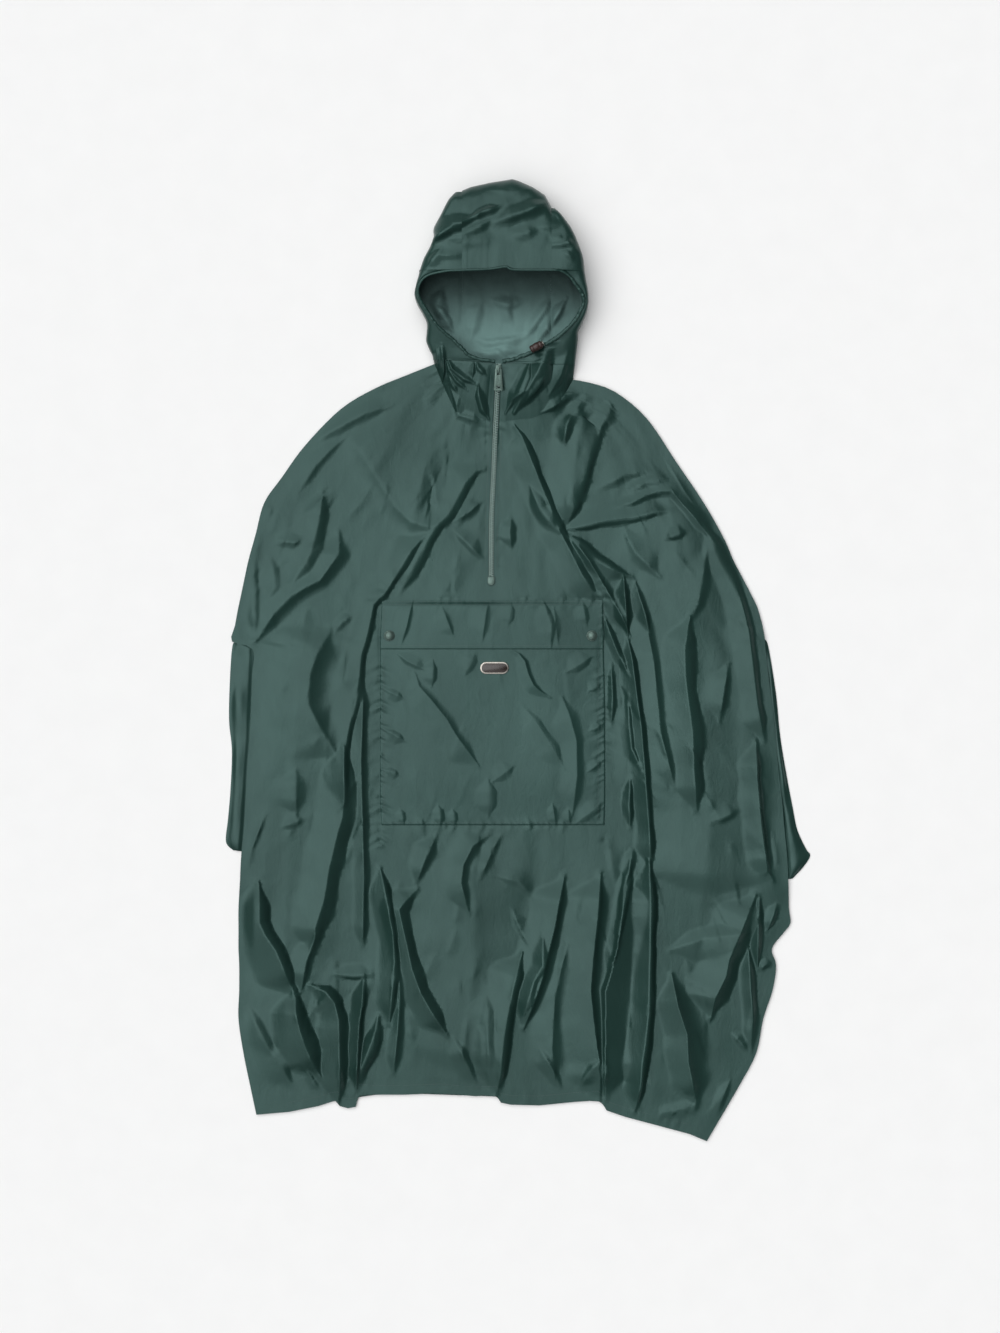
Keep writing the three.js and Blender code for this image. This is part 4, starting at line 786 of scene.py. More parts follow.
def cloth_material(
        name, rgb, roughness, crinkle=1.0, gloss_level=0.45, depth=0.0004, variation=0.2, painted_shade=None):
    """Nylon with its small creases, an uneven tone and a soft gloss; painted_shade, where given, paints
    shade that darkens the colour along Y.
    """
    material = bpy.data.materials.new(name)
    material.use_nodes = True
    material.use_backface_culling = False
    nodes, links = material.node_tree.nodes, material.node_tree.links
    shader = nodes["Principled BSDF"]
    shader.inputs["Specular IOR Level"].default_value = gloss_level
    shader.inputs["Specular Tint"].default_value = (0.65, 1, 0.96, 1)
    shader.inputs["IOR"].default_value = 1.5
    crinkled = nodes.new("ShaderNodeGroup")
    crinkled.node_tree = crinkle_group()
    crinkled.inputs["Crinkle"].default_value = crinkle
    tone = nodes.new("ShaderNodeValToRGB")
    dark, light = (tuple(c * k for c in rgb) + (1,) for k in (1 - variation, 1 + variation))
    tone.color_ramp.elements[0].position = 0.25
    tone.color_ramp.elements[1].position = 0.6
    tone.color_ramp.elements[0].color = dark
    tone.color_ramp.elements[1].color = light
    links.new(crinkled.outputs["Tone"], tone.inputs["Fac"])
    colour_out = tone.outputs["Color"]
    if painted_shade:
        # Painted shade: the colour darkens along Y, in place of the shade under the hood's brim; the tuple
        # gives where it starts, where it ends and what is left there.
        start, end, darkest = painted_shade
        place = nodes.new("ShaderNodeTexCoord")
        parts = nodes.new("ShaderNodeSeparateXYZ")
        links.new(place.outputs["Object"], parts.inputs["Vector"])
        share = nodes.new("ShaderNodeMapRange")
        share.interpolation_type = "SMOOTHSTEP"
        limits = {"From Min": start * MM, "From Max": end * MM, "To Min": 1, "To Max": darkest}
        for key, value in limits.items():
            share.inputs[key].default_value = value
        links.new(parts.outputs["Y"], share.inputs["Value"])
        shaded_colour = nodes.new("ShaderNodeVectorMath")
        shaded_colour.operation = "SCALE"
        links.new(colour_out, shaded_colour.inputs[0])
        links.new(share.outputs["Result"], shaded_colour.inputs["Scale"])
        colour_out = shaded_colour.outputs["Vector"]
    links.new(colour_out, shader.inputs["Base Color"])
    gloss = nodes.new("ShaderNodeMapRange")
    gloss.inputs["From Min"].default_value = 0.25
    gloss.inputs["From Max"].default_value = 0.6
    gloss.inputs["To Min"].default_value = roughness + 0.06
    gloss.inputs["To Max"].default_value = roughness - 0.06
    links.new(crinkled.outputs["Tone"], gloss.inputs["Value"])
    links.new(gloss.outputs["Result"], shader.inputs["Roughness"])
    bump = nodes.new("ShaderNodeBump")
    bump.inputs["Strength"].default_value = 1
    bump.inputs["Distance"].default_value = depth
    links.new(crinkled.outputs["Height"], bump.inputs["Height"])
    links.new(bump.outputs["Normal"], shader.inputs["Normal"])
    return material


def hard_material(name, rgb, roughness, metallic, grain=60.0, depth=0.00004, wear=0.25):
    """Painted, plated or moulded finish with a little grain and unevenness."""
    material = bpy.data.materials.new(name)
    material.use_nodes = True
    nodes, links = material.node_tree.nodes, material.node_tree.links
    shader = nodes["Principled BSDF"]
    shader.inputs["Metallic"].default_value = metallic
    place = nodes.new("ShaderNodeTexCoord")
    speckle = nodes.new("ShaderNodeTexNoise")
    speckle.inputs["Scale"].default_value = grain * 10
    speckle.inputs["Detail"].default_value = 4
    links.new(place.outputs["Object"], speckle.inputs["Vector"])
    tone = nodes.new("ShaderNodeValToRGB")
    tone.color_ramp.elements[0].position = 0.3
    tone.color_ramp.elements[1].position = 0.7
    tone.color_ramp.elements[0].color = tuple(c * (1 - wear) for c in rgb) + (1,)
    tone.color_ramp.elements[1].color = tuple(min(1, c * (1 + wear)) for c in rgb) + (1,)
    links.new(speckle.outputs["Fac"], tone.inputs["Fac"])
    links.new(tone.outputs["Color"], shader.inputs["Base Color"])
    gloss = nodes.new("ShaderNodeMapRange")
    gloss.inputs["To Min"].default_value = roughness - 0.08
    gloss.inputs["To Max"].default_value = roughness + 0.08
    links.new(speckle.outputs["Fac"], gloss.inputs["Value"])
    links.new(gloss.outputs["Result"], shader.inputs["Roughness"])
    bump = nodes.new("ShaderNodeBump")
    bump.inputs["Strength"].default_value = 0.5
    bump.inputs["Distance"].default_value = depth
    links.new(speckle.outputs["Fac"], bump.inputs["Height"])
    links.new(bump.outputs["Normal"], shader.inputs["Normal"])
    return material


MATERIALS = {}  # made once each, by finish_of


def finish_of(name):
    """The poncho's material of that name, made when it is first asked for."""
    c = colours()
    makers = {
        "shell": lambda: cloth_material("shell_nylon", c.shell, 0.31),
        "pocket": lambda: cloth_material("pocket_nylon", c.pocket, 0.31),
        # The inner face has painted shade: its colour darkens from y 455 to 530 mm, down to 0.24 of it,
        # where the brim shades the hood's inside.
        "inside": lambda: cloth_material(
            "inner_nylon", c.inside, 0.5, gloss_level=0.2, painted_shade=(455, 530, 0.24)),
        "tape": lambda: cloth_material("zip_tape_weave", c.tape, 0.75, crinkle=0.4, depth=0.0003),
        "thread": lambda: hard_material("sewing_thread", c.thread, 0.6, 0),
        "teeth": lambda: hard_material("zip_teeth", c.teeth, 0.42, 0.15),
        "metal": lambda: hard_material("enamelled_metal", c.metal, 0.34, 0.55),
        "steel": lambda: hard_material("bright_steel", c.steel, 0.28, 1),
        "enamel": lambda: hard_material("dark_enamel", c.enamel, 0.22, 0),
        "lock": lambda: hard_material("moulded_lock", c.lock, 0.4, 0),
    }
    if name not in MATERIALS:
        MATERIALS[name] = makers[name]()
    return MATERIALS[name]


# Front, back and sides

FRONT_BENDS = (8, 24)  # in degrees, the bends over which the front's grid is halved once and twice


def build_front():
    """The front panel's creased cloth, slit for the zip."""
    cloth, slit, slit_rows = cloth_rows(sizes().cloth_step)
    rows = [[(x, y, front_z(x, y, to_side, lift)) for x, y, to_side, lift in row] for row in cloth]
    bm = new_sheet(rows)
    to_side = bm.verts.layers.float.new("to_side")
    lift = bm.verts.layers.float.new("lift")
    bm.verts.ensure_lookup_table()
    for vert, place in zip(bm.verts, (place for row in cloth for place in row)):
        vert[to_side], vert[lift] = place[2:]
    cut_slit(bm, len(cloth[0]), slit, slit_rows)
    refine(bm, FRONT_BENDS, lambda v: front_z(v.co.x / MM, v.co.y / MM, v[to_side], v[lift]))
    turn_down_edges(bm, FRONT_CLOTH)
    front = piece("front_cloth", bm, finish_of("shell"), replaces=["front_panel"])


def build_back():
    """The back panel lies flat, a little inside the front panel's outline."""
    inset = 7
    rows = []
    for i in range(1, len(SECTIONS)):
        points, _ = across(SECTIONS[i], 16)
        left, right = points[0][0] + inset, points[-1][0] - inset
        if i == len(SECTIONS) - 1:
            points = [(x, look(HEM, x) + inset) for x, _ in points]
        rows.append([(min(max(x, left), right), y, BACK_CLOTH - 0.5) for x, y in points])
    bm = new_sheet(rows)
    back = piece("back_cloth", bm, finish_of("shell"), replaces=["back_panel"])
    thicken(back, BACK_CLOTH - 0.6)


# Side pieces, from the hood side down: height on the garment, outer edge and its height.
SIDE_LEFT = ((27, -396, 28), (14, -400, 20), (-18, -403, -20), (-80, -404.5, -80), (-125, -400.5, -125),
    (-180, -402.5, -180), (-220, -406, -221), (-250, -408.8, -252), (-268, -399, -264))
SIDE_RIGHT = ((29, 344.5, 32), (14, 350.5, 20), (-40, 361, -45), (-100, 367, -105), (-150, 376, -160),
    (-195, 384.5, -205), (-228, 391, -236), (-255, 403, -262), (-275, 408.8, -272), (-292, 399, -288),
    (-306, 384, -304))


SIDE_PIECE_ROLL = 2.2  # rise of a side piece beside the front panel's edge
SIDE_RIPPLE = 3.4  # height of the ripples there
SIDE_TUCK = 7  # how far inside that edge the side piece leaves the back's cloth
SIDE_REACH = 12  # and how far further in it begins


def edge_x(key, y):
    return look(sorted((getattr(s, key)[1], getattr(s, key)[0]) for s in SECTIONS), y)


def build_side(name, node, key, table, seed):
    """The part of the back that shows past the front panel's edge."""
    out = -1 if key == "left" else 1
    steps = 10
    columns = 26
    rows = []
    count = (len(table) - 1) * steps
    for k in range(count + 1):
        y, outer, outer_y = rounded(table, k / steps)
        panel = edge_x(key, y) - SIDE_TUCK * out
        inner = panel - SIDE_REACH * out
        down = k / count
        row = []
        for c in range(columns + 1):
            t = c / columns
            x = lerp(inner, outer, t)
            past = clamp01((x - panel) * out / 6)
            here_y = lerp(y, outer_y, t)
            beyond = (x - panel) * out - SIDE_TUCK
            roll = SIDE_PIECE_ROLL * smooth(beyond / 6) * smooth(3 * (1 - t))
            crease = noise.noise(Vector((x * 0.05, here_y * 0.018, seed)))
            ends = smooth(6 * min(down, 1 - down) + 0.2)
            ripple = SIDE_RIPPLE * past * smooth((1 - t) * 5) * (0.5 + crease) * ends
            z = lerp(BACK_CLOTH + SEAM + TRIM_CLOTH, TRIM_CLOTH, smooth(past)) + max(0, ripple) + roll
            row.append((x, here_y, z))
        rows.append(row)
    bm = new_sheet(rows)
    turn_down_edges(bm, TRIM_CLOTH - 0.1)
    side = piece(name, bm, finish_of("shell"), replaces=[node])
    return side


def build_sides():
    left = build_side("side_cloth_left", "side_left", "left", SIDE_LEFT, 4.0)
    right = build_side("side_cloth_right", "side_right", "right", SIDE_RIGHT, 9.0)


# Pocket

SIDE_ROLLED = 0.8  # how far the pocket's side edges roll down
FOOT_ROLLED = 0.9  # and its lower edges
FLAP_TOP_Y = 86
FLAP_ROLL = 9  # how soon the flap rises from its seam


def bag_z(x, y):
    """Height of the pocket bag's upper face."""
    low_x, high_x, low_y, _ = POCKET_BOX
    over = smooth(min(x - low_x, high_x - x) / 78)
    down = smooth((y - low_y) / 75)
    creased = POCKET_FOLDS.at(x, y) * smooth(min(x - low_x, high_x - x, y - low_y + 6) / 9 + 0.15)
    return front_z(x, y) + SEAM + TRIM_CLOTH + POCKET_FULLNESS * over * down + creased


def flap_z(x, y):
    """Height of the flap's upper face: sewn to the front at its top, and over the bag below."""
    proud = smooth((FLAP_TOP_Y - y) / FLAP_ROLL)
    under = lerp(front_z(x, y), bag_z(x, y), proud)
    return under + SEAM + TRIM_CLOTH + FLAP_FOLDS.at(x, y)


def build_pocket():
    step = sizes().trim_step
    low_x, high_x, _, _ = POCKET_BOX
    columns = round((high_x - low_x) / step)

    def cloth(first, last, height):
        """Cloth between two sections, with its edges rolled down."""
        top, bottom = SECTIONS[first], SECTIONS[last]
        count = round(math.dist(top.zip, bottom.zip) / step)
        rows = []
        for k in range(count + 1):
            y = lerp(top.zip[1], bottom.zip[1], k / count)
            left, right = edge_x("pocket_left", y), edge_x("pocket_right", y)
            row = []
            for c in range(columns + 1):
                x = lerp(left, right, c / columns)
                rolled = SIDE_ROLLED if c in (0, columns) else FOOT_ROLLED if k == count else 0
                row.append((x, y, height(x, y) - rolled))
            rows.append(row)
        bm = new_sheet(rows)
        refine(bm, (8,), lambda v: height(v.co.x / MM, v.co.y / MM) if not v.is_boundary else v.co.z / MM)
        turn_down_edges(bm, TRIM_CLOTH)
        return bm

    bag = cloth(POCKET_MOUTH_SECTION, POCKET_END_SECTION, bag_z)
    bag_piece = piece("pocket_bag_cloth", bag, finish_of("pocket"), replaces=["pocket_bag"])
    flap = cloth(FLAP_TOP_SECTION, FLAP_END_SECTION, flap_z)
    flap_piece = piece("pocket_flap_cloth", flap, finish_of("pocket"), replaces=["pocket_flap"])


# Hood

HOOD_LEFT_SEAM_X = -78
HOOD_RIGHT_SEAM_X = 46
HOOD_RIM_Y = 541
HOOD_RIM_Z = 58
CROWN_EDGE_Z = 9
UNDER_ROLL = 12
SIDE_SHARE = (0.4, 0.58)  # height of a panel's side over that of its rim, low down and at the crown
# Where the share begins to grow, and the length over which it does.
FULL_FROM_Y = 485
FULL_OVER = 50
HOOD_WALL = 0.8
CENTRE_FOOT_Y = (413, 396)  # lower ends of the centre panel's two seams
HOOD_SEAM = 0.04
# Outline of the crown and of the rim over the centre panel.
CROWN = [(-78, 655), (-66, 660), (-40, 666), (-8, 671.2), (0, 669), (20, 660), (37, 649), (42, 640),
    (46, 632)]
RIM_TOP = [(-78, 541), (-40, 543), (-17, 546), (-5, 542), (46, 541)]
# Stations over the crown: distance along the garment, and the side's place.
LEFT_CROWN = ((651, -88), (640, -97), (620, -107), (600, -117), (587, -117), (575, -122), (558, -131),
    (542, -136.5))
RIGHT_CROWN = ((628, 52), (620, 60), (600, 74), (580, 83), (560, 90), (542, 92))
# Stations round the opening: the rim's x, y and z, the side's x and y, and the lower seam's y.
LEFT_RIM = (
    (-100, 540, 56, -137, 540, 538), (-124, 535, 53, -139, 532, 532), (-136, 526, 50, -141.5, 523, 523),
    (-140.5, 511, 46, -144, 509, 509), (-135, 497, 42, -140, 496, 496), (-126, 483, 38, -132, 482, 482),
    (-116, 469, 34, -127, 470, 469), (-103, 456, 30, -127.5, 458, 456), (-90, 445, 27, -128, 446, 444),
    (-78, 433, 25, -123, 434, 430), (-64, 422, 23, -119.5, 427, 420), (-32, 416, 21, -118.5, 421, 413))
RIGHT_RIM = (
    (60, 540, 56, 92.5, 539, 538), (72, 533, 53, 94, 530, 530), (82, 521, 50, 96.5, 518, 518),
    (90, 509, 46, 98, 506, 506), (93, 498, 42, 97.5, 495, 495), (87, 484, 38, 94.5, 482, 482),
    (78, 470, 34, 89, 470, 469), (65, 457, 31, 84, 459, 456), (50, 446, 28, 83.5, 448, 444),
    (34, 437, 26, 82.5, 438, 432), (14, 427, 23, 81, 427, 420), (-4, 420, 22, 80, 418, 410),
    (-22, 416, 21, 79.5, 413, 396))

# Creases over the crown and the brim.
CROWN_FOLDS = Folds((
    (((-54, 615), (-80, 603), (-100, 592), (-124, 579), (-140, 568)), 12, 12, 20),
    (((-24, 628), (-46, 621), (-70, 609)), 17, 10, 12),
    (((46, 636), (14, 621), (-10, 613), (-36, 604)), 15, 9, 16),
    (((-30, 613), (-60, 596), (-96, 581)), 7, 5, 10),
    (((-20, 579), (-56, 578), (-80, 580), (-96, 586)), 6, 4, 9),
    (((-78, 559), (-112, 560)), 5, 3, 9),
    (((-44, 568), (-43, 548)), 5, 2.5, 7),
    (((-72, 566), (-72, 546)), 5, 2.5, 7),
    (((-14, 566), (-2, 546)), 5, 3, 8),
    (((62, 586), (44, 583)), 6, 4, 8),
    (((78, 582), (50, 572)), 6, 4, 8),
    (((78, 553), (62, 568)), 6, 3, 8),
    (((82, 566), (66, 580)), 6, 3, 8),
    (((22, 655), (-6, 648), (-36, 652)), 10, 2, 16),
    (((30, 596), (4, 588), (-16, 590)), 8, 4, 12),
    (((62, 606), (44, 600), (22, 602)), 7, 2.5, 14),
    (((-126, 545), (-112, 560), (-104, 572)), 7, 4, 9),
))
# Creases of the hood's back, seen through the opening.
INNER_FOLDS = Folds((
    (((68, 508), (56, 484), (42, 466), (26, 446)), 8, 8, 14),
    (((50, 512), (36, 488), (22, 468), (8, 452)), 8, 5, 12),
    (((-60, 452), (-40, 446), (-10, 450), (14, 458)), 9, 4, 12),
    (((-62, 436), (-40, 430), (-16, 436), (6, 434)), 8, 4, 10),
    (((-34, 438), (-22, 426), (-12, 420)), 6, 3, 8),
    (((-50, 505), (-60, 480), (-66, 450)), 10, 3, 16),
    (((-10, 512), (-18, 490), (-8, 472)), 8, 3, 14),
    (((-105, 522), (-112, 500), (-100, 476)), 9, 5, 12),
    (((-118, 500), (-102, 478), (-92, 462)), 8, 5, 10),
    (((10, 505), (-14, 498), (-40, 506)), 8, 3, 12),
))


FULLNESS = 4.2  # of the crown's section: 2 is an ellipse, more is fuller at the edge


def hook(start, side, end, upper, lower):
    """Section of a hood panel: over from start to its side, round and back along the surface to end."""
    out = 1 if side[0] > end[0] else -1
    roll = min(UNDER_ROLL, abs(side[0] - end[0]) * 0.55)
    points = []
    for i in range(upper + 1):
        turn = math.pi / 2 * i / upper
        out_share, up_share = (max(0, v) ** (2 / FULLNESS) for v in (math.sin(turn), math.cos(turn)))
        points.append((lerp(start[0], side[0], out_share), lerp(side[1], start[1], up_share)))
    for i in range(1, 7):
        a = math.pi / 2 * i / 6
        points.append((side[0] - out * roll * (1 - math.cos(a)), side[1] * (1 - math.sin(a))))
    for i in range(1, lower + 1):
        points.append((lerp(side[0] - out * roll, end[0], i / lower), 0))
    return points


def hood_unevenness(x, y, z):
    """Swells and small creases of the hood's upper layer; less of them near the lying surface."""
    wave = noise.noise(Vector((x * 0.03, y * 0.03, 5.5)))
    crumple = facets(x / 26 + 0.3 * wave, y / 22, 7) + 0.5 * facets(x / 11, y / 12 + wave, 8)
    return smooth((z - 4) / 14) * (1.3 * wave + 0.9 * crumple)


def neck_gathers(x, y, z):
    return NECK_FOLDS.at(x, y) * smooth((z - 2) / 12)


def creased_hood(points, upper):
    """Adds the hood's creases: over the crown on the upper layer, inside the opening on the lower."""
    made = []
    for i, (x, y, z) in enumerate(points):
        if i <= upper:
            lift = smooth((z - 3) / 9) * CROWN_FOLDS.at(x, y) + hood_unevenness(x, y, z)
            if y < 462:
                lift += neck_gathers(x, y, z) * smooth((462 - y) / 16)
        else:
            wave = noise.noise(Vector((x * 0.03, y * 0.03, 8.5)))
            crumple = facets(x / 34, y / 24 + wave, 9) + 0.5 * facets(x / 14, y / 10, 10)
            lift = 1.5 * max(0, wave) + 1.1 + 0.9 * crumple + 1.7 * INNER_FOLDS.at(x, y)
            to_seam = min(abs(x - HOOD_LEFT_SEAM_X), abs(x - HOOD_RIGHT_SEAM_X))
            lift *= smooth((i - upper - 6) / 6) * (0.2 + 0.8 * smooth(to_seam / 6))
        made.append((x, y, max(HOOD_WALL, z + lift) if z > 0 or lift > 0 else HOOD_WALL))
    return made


def hood_piece(name, node, rows):
    bm = new_sheet(rows)
    # The upper layer faces up and the lower one down, so the highest cell decides the way round.
    bm.faces.ensure_lookup_table()
    top = max(bm.faces, key=lambda f: f.calc_center_median().z)
    if top.normal.z < 0:
        bmesh.ops.reverse_faces(bm, faces=bm.faces)
    for edge in bm.edges:
        edge.smooth = not edge.is_boundary
    made = piece(name, bm, finish_of("shell"), replaces=[node])
    made.data.materials.append(finish_of("inside"))
    solid = thicken(made, HOOD_WALL)
    solid.material_offset = 1


def crown_z(y, edge_y):
    share = clamp01((y - HOOD_RIM_Y) / (edge_y - HOOD_RIM_Y))
    return CROWN_EDGE_Z + (HOOD_RIM_Z - CROWN_EDGE_Z) * (1 - share ** FULLNESS) ** (1 / FULLNESS)


def hood_side(name, node, seam_x, edge_y, crown, rim):
    """One side panel, from the crown down to the zip."""
    stations = [(seam_x, y, crown_z(y, edge_y), side, y, y) for y, side in crown] + list(rim)
    rows = []
    upper = 22
    lower = 20
    for i, (here, below) in enumerate(zip(stations, stations[1:])):
        gap = max(math.dist(here[:2], below[:2]), math.dist(here[3:5], below[3:5]))
        count = max(1, round(gap / sizes().hood_step))
        last = i == len(stations) - 2
        for k in range(count + (1 if last else 0)):
            rim_x, rim_y, rim_z, side_x, side_y, seam_y = rounded(stations, i + k / count)
            fullest = smooth((rim_y - FULL_FROM_Y) / FULL_OVER)
            side_z = max(CROWN_EDGE_Z * 0.7, rim_z * lerp(*SIDE_SHARE, fullest))
            points = []
            for n, (x, z) in enumerate(hook((rim_x, rim_z), (side_x, side_z), (seam_x, 0), upper, lower)):
                if n <= upper:
                    t = clamp01((x - rim_x) / (side_x - rim_x or 1))
                    y = lerp(rim_y, side_y, t)
                else:
                    t = clamp01((x - side_x) / (seam_x - side_x or 1))
                    y = lerp(side_y, seam_y, t)
                points.append((x, y, z))
            rows.append(creased_hood(points, upper))
    hood_piece(name, node, rows)


def build_hood():
    half = HOOD_SEAM / 2
    hood_side("hood_cloth_left", "hood_left", HOOD_LEFT_SEAM_X - half, 655, LEFT_CROWN, LEFT_RIM)
    hood_side("hood_cloth_right", "hood_right", HOOD_RIGHT_SEAM_X + half, 632, RIGHT_CROWN, RIGHT_RIM)
    rows = []
    step = sizes().hood_step
    columns = round((HOOD_RIGHT_SEAM_X - HOOD_LEFT_SEAM_X) / step)
    upper, lower = 50, 90
    for i in range(columns + 1):
        t = i / columns
        x = lerp(HOOD_LEFT_SEAM_X + half, HOOD_RIGHT_SEAM_X - half, t)
        start = (look(RIM_TOP, x), HOOD_RIM_Z)
        side = (look(CROWN, x), CROWN_EDGE_Z)
        section = hook(start, side, (lerp(*CENTRE_FOOT_Y, t), 0), upper, lower)
        rows.append(creased_hood([(x, y, z) for y, z in section], upper))
    hood_piece("hood_cloth_centre", "hood_centre", rows)


def rim_line():
    """Middle of the casing, from the zip's left side round the opening to its right side."""
    over = 1.7
    middle = Vector((-22, 480, 0))
    line = [row[:3] for row in reversed(LEFT_RIM)]
    line += [(x, y, HOOD_RIM_Z) for x, y in RIM_TOP]
    line += [row[:3] for row in RIGHT_RIM]
    moved = []
    for x, y, z in line:
        inward = (middle - Vector((x, y, 0))).normalized() * over
        moved.append((x + inward.x, y + inward.y, z + over))
    return moved


def tube(line, steps, sides, section, closed_ends=True):
    """A tube along a smooth line; section(t, turn) gives its half width and half height."""
    points = [Vector(rounded(line, (len(line) - 1) * k / steps)) for k in range(steps + 1)]
    bm = bmesh.new()
    ring = None
    for k, centre in enumerate(points):
        ahead = points[min(k + 1, steps)] - points[max(k - 1, 0)]
        ahead.normalize()
        across_way = ahead.cross(UP).normalized()
        up = across_way.cross(ahead)
        if ring is None:
            made = bmesh.ops.create_circle(bm, cap_ends=False, radius=1, segments=sides)
            ring = list(made["verts"])
            edges = list(bm.edges)
        else:
            made = bmesh.ops.extrude_edge_only(bm, edges=edges)["geom"]
            ring = [g for g in made if isinstance(g, bmesh.types.BMVert)]
            edges = [
                g for g in made
                if isinstance(g, bmesh.types.BMEdge) and all(v in ring for v in g.verts)]
        for turn, vert in enumerate(ring):
            a = 2 * math.pi * turn / sides
            wide, high = section(k / steps, a)
            vert.co = (centre + across_way * wide * math.cos(a) + up * high * math.sin(a)) * MM
    if closed_ends:
        bmesh.ops.holes_fill(bm, edges=[e for e in bm.edges if e.is_boundary], sides=sides)
    bmesh.ops.recalc_face_normals(bm, faces=bm.faces)
    return bm


def build_casing():
    """The gathered channel round the opening that holds the drawcord."""
    def section(t, a):
        drawn = smooth((t - 0.6) * 12) + 0.6 * smooth((0.32 - t) * 12)
        gather = noise.noise(Vector((t * 170, 0.5 * math.cos(a), 0.5 * math.sin(a))))
        wide = 1.7 + 1.0 * drawn
        return wide + gather * (0.25 + 1.1 * drawn), 1.1 + 0.3 * drawn + gather * (0.15 + 0.7 * drawn)

    bm = tube(rim_line(), 420, 12, section)
    piece("hood_casing_cloth", bm, finish_of("shell"), replaces=["hood_casing"])


# Collar

ZIP_TOP = (-27, 414, 19)
COLLAR_SIDE_Z = 7


def build_collar(name, node, is_left):
    """The gathered cloth between the hood's opening and the front, on one side of the zip."""
    first, slit = across(SECTIONS[0], 1.7)
    edge = first[:slit + 1] if is_left else first[slit + 1:]
    outer = (-118.5, 420) if is_left else (79.5, 412)
    inner = (ZIP_TOP[0] + (-ZIP_SLOT if is_left else ZIP_SLOT) / 2, ZIP_TOP[1])
    ends = (outer, inner) if is_left else (inner, outer)
    left, right = first[0], first[-1]
    rows = []
    count = 46
    tuck = 2.5  # how far the collar reaches under the hood, and the front under the collar
    for r in range(count + 1):
        t = r / count
        row = []
        for c, (bx, by) in enumerate(edge):
            s = c / (len(edge) - 1)
            share = 1 - s if is_left else s
            tx, ty = mix(ends[0], ends[1], s)
            top_z = lerp(COLLAR_SIDE_Z + 1.4, ZIP_TOP[2] + 1.8, (1 - share ** FULLNESS) ** (1 / FULLNESS))
            to_side = min(math.dist((bx, by), left), math.dist((bx, by), right))
            by -= tuck * smooth(to_side / 30)
            side_share = smooth(0.06 + to_side / SIDE_ROLL)
            bottom_z = front_z(bx, by, to_side) - NECK_FOLDS.at(bx, by) * side_share
            x, y = lerp(tx, bx, t), lerp(ty + tuck, by, t)
            swell = 3 * math.sin(math.pi * t) * smooth(6 * min(s, 1 - s))
            gathers = lerp(neck_gathers(x, y, top_z), NECK_FOLDS.at(x, y) * side_share, t)
            z = lerp(top_z, bottom_z, t) + gathers + swell + hood_unevenness(x, y, top_z) * (1 - t)
            z += 0.25 * smooth(t * 10 - 8) - 0.5 * smooth(1 - t * 14)
            row.append((x, y, z))
        rows.append(row)
    bm = new_sheet(rows)
    turn_down_edges(bm, 0.3)
    made = piece(name, bm, finish_of("shell"), replaces=[node])


# Zip

TAPE_HEIGHT = 0.8
CHAIN_HEIGHT = 1.7


def zip_line():
    """Middle of the zip's tape: from the collar down to the stop."""
    neck = SECTIONS[0].zip
    half = ZIP_SLOT / 2

    def base(x, y):
        return max(front_z(x - half, y), front_z(x + half, y)) - FRONT_CLOTH

    start = (*neck, base(*neck))
    line = [mix(ZIP_TOP, start, t) for t in (0, 0.25, 0.5, 0.75)]
    for i in range(ZIP_END_SECTION):
        for k in range(4):
            x, y = section_at(i + k / 4).zip
            line.append((x, y, base(x, y)))
    x, y = SECTIONS[ZIP_END_SECTION].zip
    line.append((x, y + SEAM, base(x, y)))
    return line


def even_points(line, spacing):
    """Points at an even spacing along a line of straight stretches, each with its direction."""
    made = []
    left_over = 0.0
    for a, b in zip(line, line[1:]):
        a, b = Vector(a), Vector(b)
        length = (b - a).length
        way = (b - a).normalized()
        at = left_over
        while at < length:
            made.append((a + way * at, way))
            at += spacing
        left_over = at - length
    return made


def add_block(bm, centre, way, up, size):
    """A small block with its length along way: size is length, width and height."""
    side = up.cross(way).normalized()
    top = way.cross(side).normalized()
    turn = Matrix((way, side, top)).transposed().to_4x4()
    scale = Matrix.Diagonal((*size, 1))
    return bmesh.ops.create_cube(bm, size=MM, matrix=Matrix.Translation(centre * MM) @ turn @ scale)


def build_zip():
    line = zip_line()
    rows = []
    for x, y, z in line:
        rows.append([(x + side * (ZIP_SLOT / 2 - SEAM), y, z + TAPE_HEIGHT) for side in (-1, -0.4, 0.4, 1)])
    tape = new_sheet(rows)
    turn_down_edges(tape, TAPE_HEIGHT - 0.1)
    piece("zip_tape_cloth", tape, finish_of("tape"), replaces=["zip_tape"])
    teeth = bmesh.new()
    pitch = sizes().tooth_pitch
    chain = [(x, y, z + TAPE_HEIGHT + SEAM) for x, y, z in line]
    for number, (at, way) in enumerate(even_points(chain, pitch / 2)):
        side = -1 if number % 2 else 1
        centre = at + Vector((side * 1.1, 0, CHAIN_HEIGHT / 2))
        add_block(teeth, centre, way, UP, (pitch * 0.3, 3.4, CHAIN_HEIGHT))
    for side in (-1, 1):
        for at, way in even_points(chain, pitch):
            centre = at + Vector((side * 2.7, 0, CHAIN_HEIGHT * 0.32))
            add_block(teeth, centre, way, UP, (pitch * 0.5, 0.7, CHAIN_HEIGHT * 0.6))
    piece("zip_teeth", teeth, finish_of("teeth"), replaces=["zip_chain"], is_smooth=False)
    for node, width in (("zip_slider", 0.5), ("zip_bridge", 0.35), ("zip_stop", 0.5)):
        rounded_copy(node, node + "_metal", width, "metal", GARMENT)
    rounded_copy("zip_pull", "zip_pull_metal", 0.35, "metal", PULL)


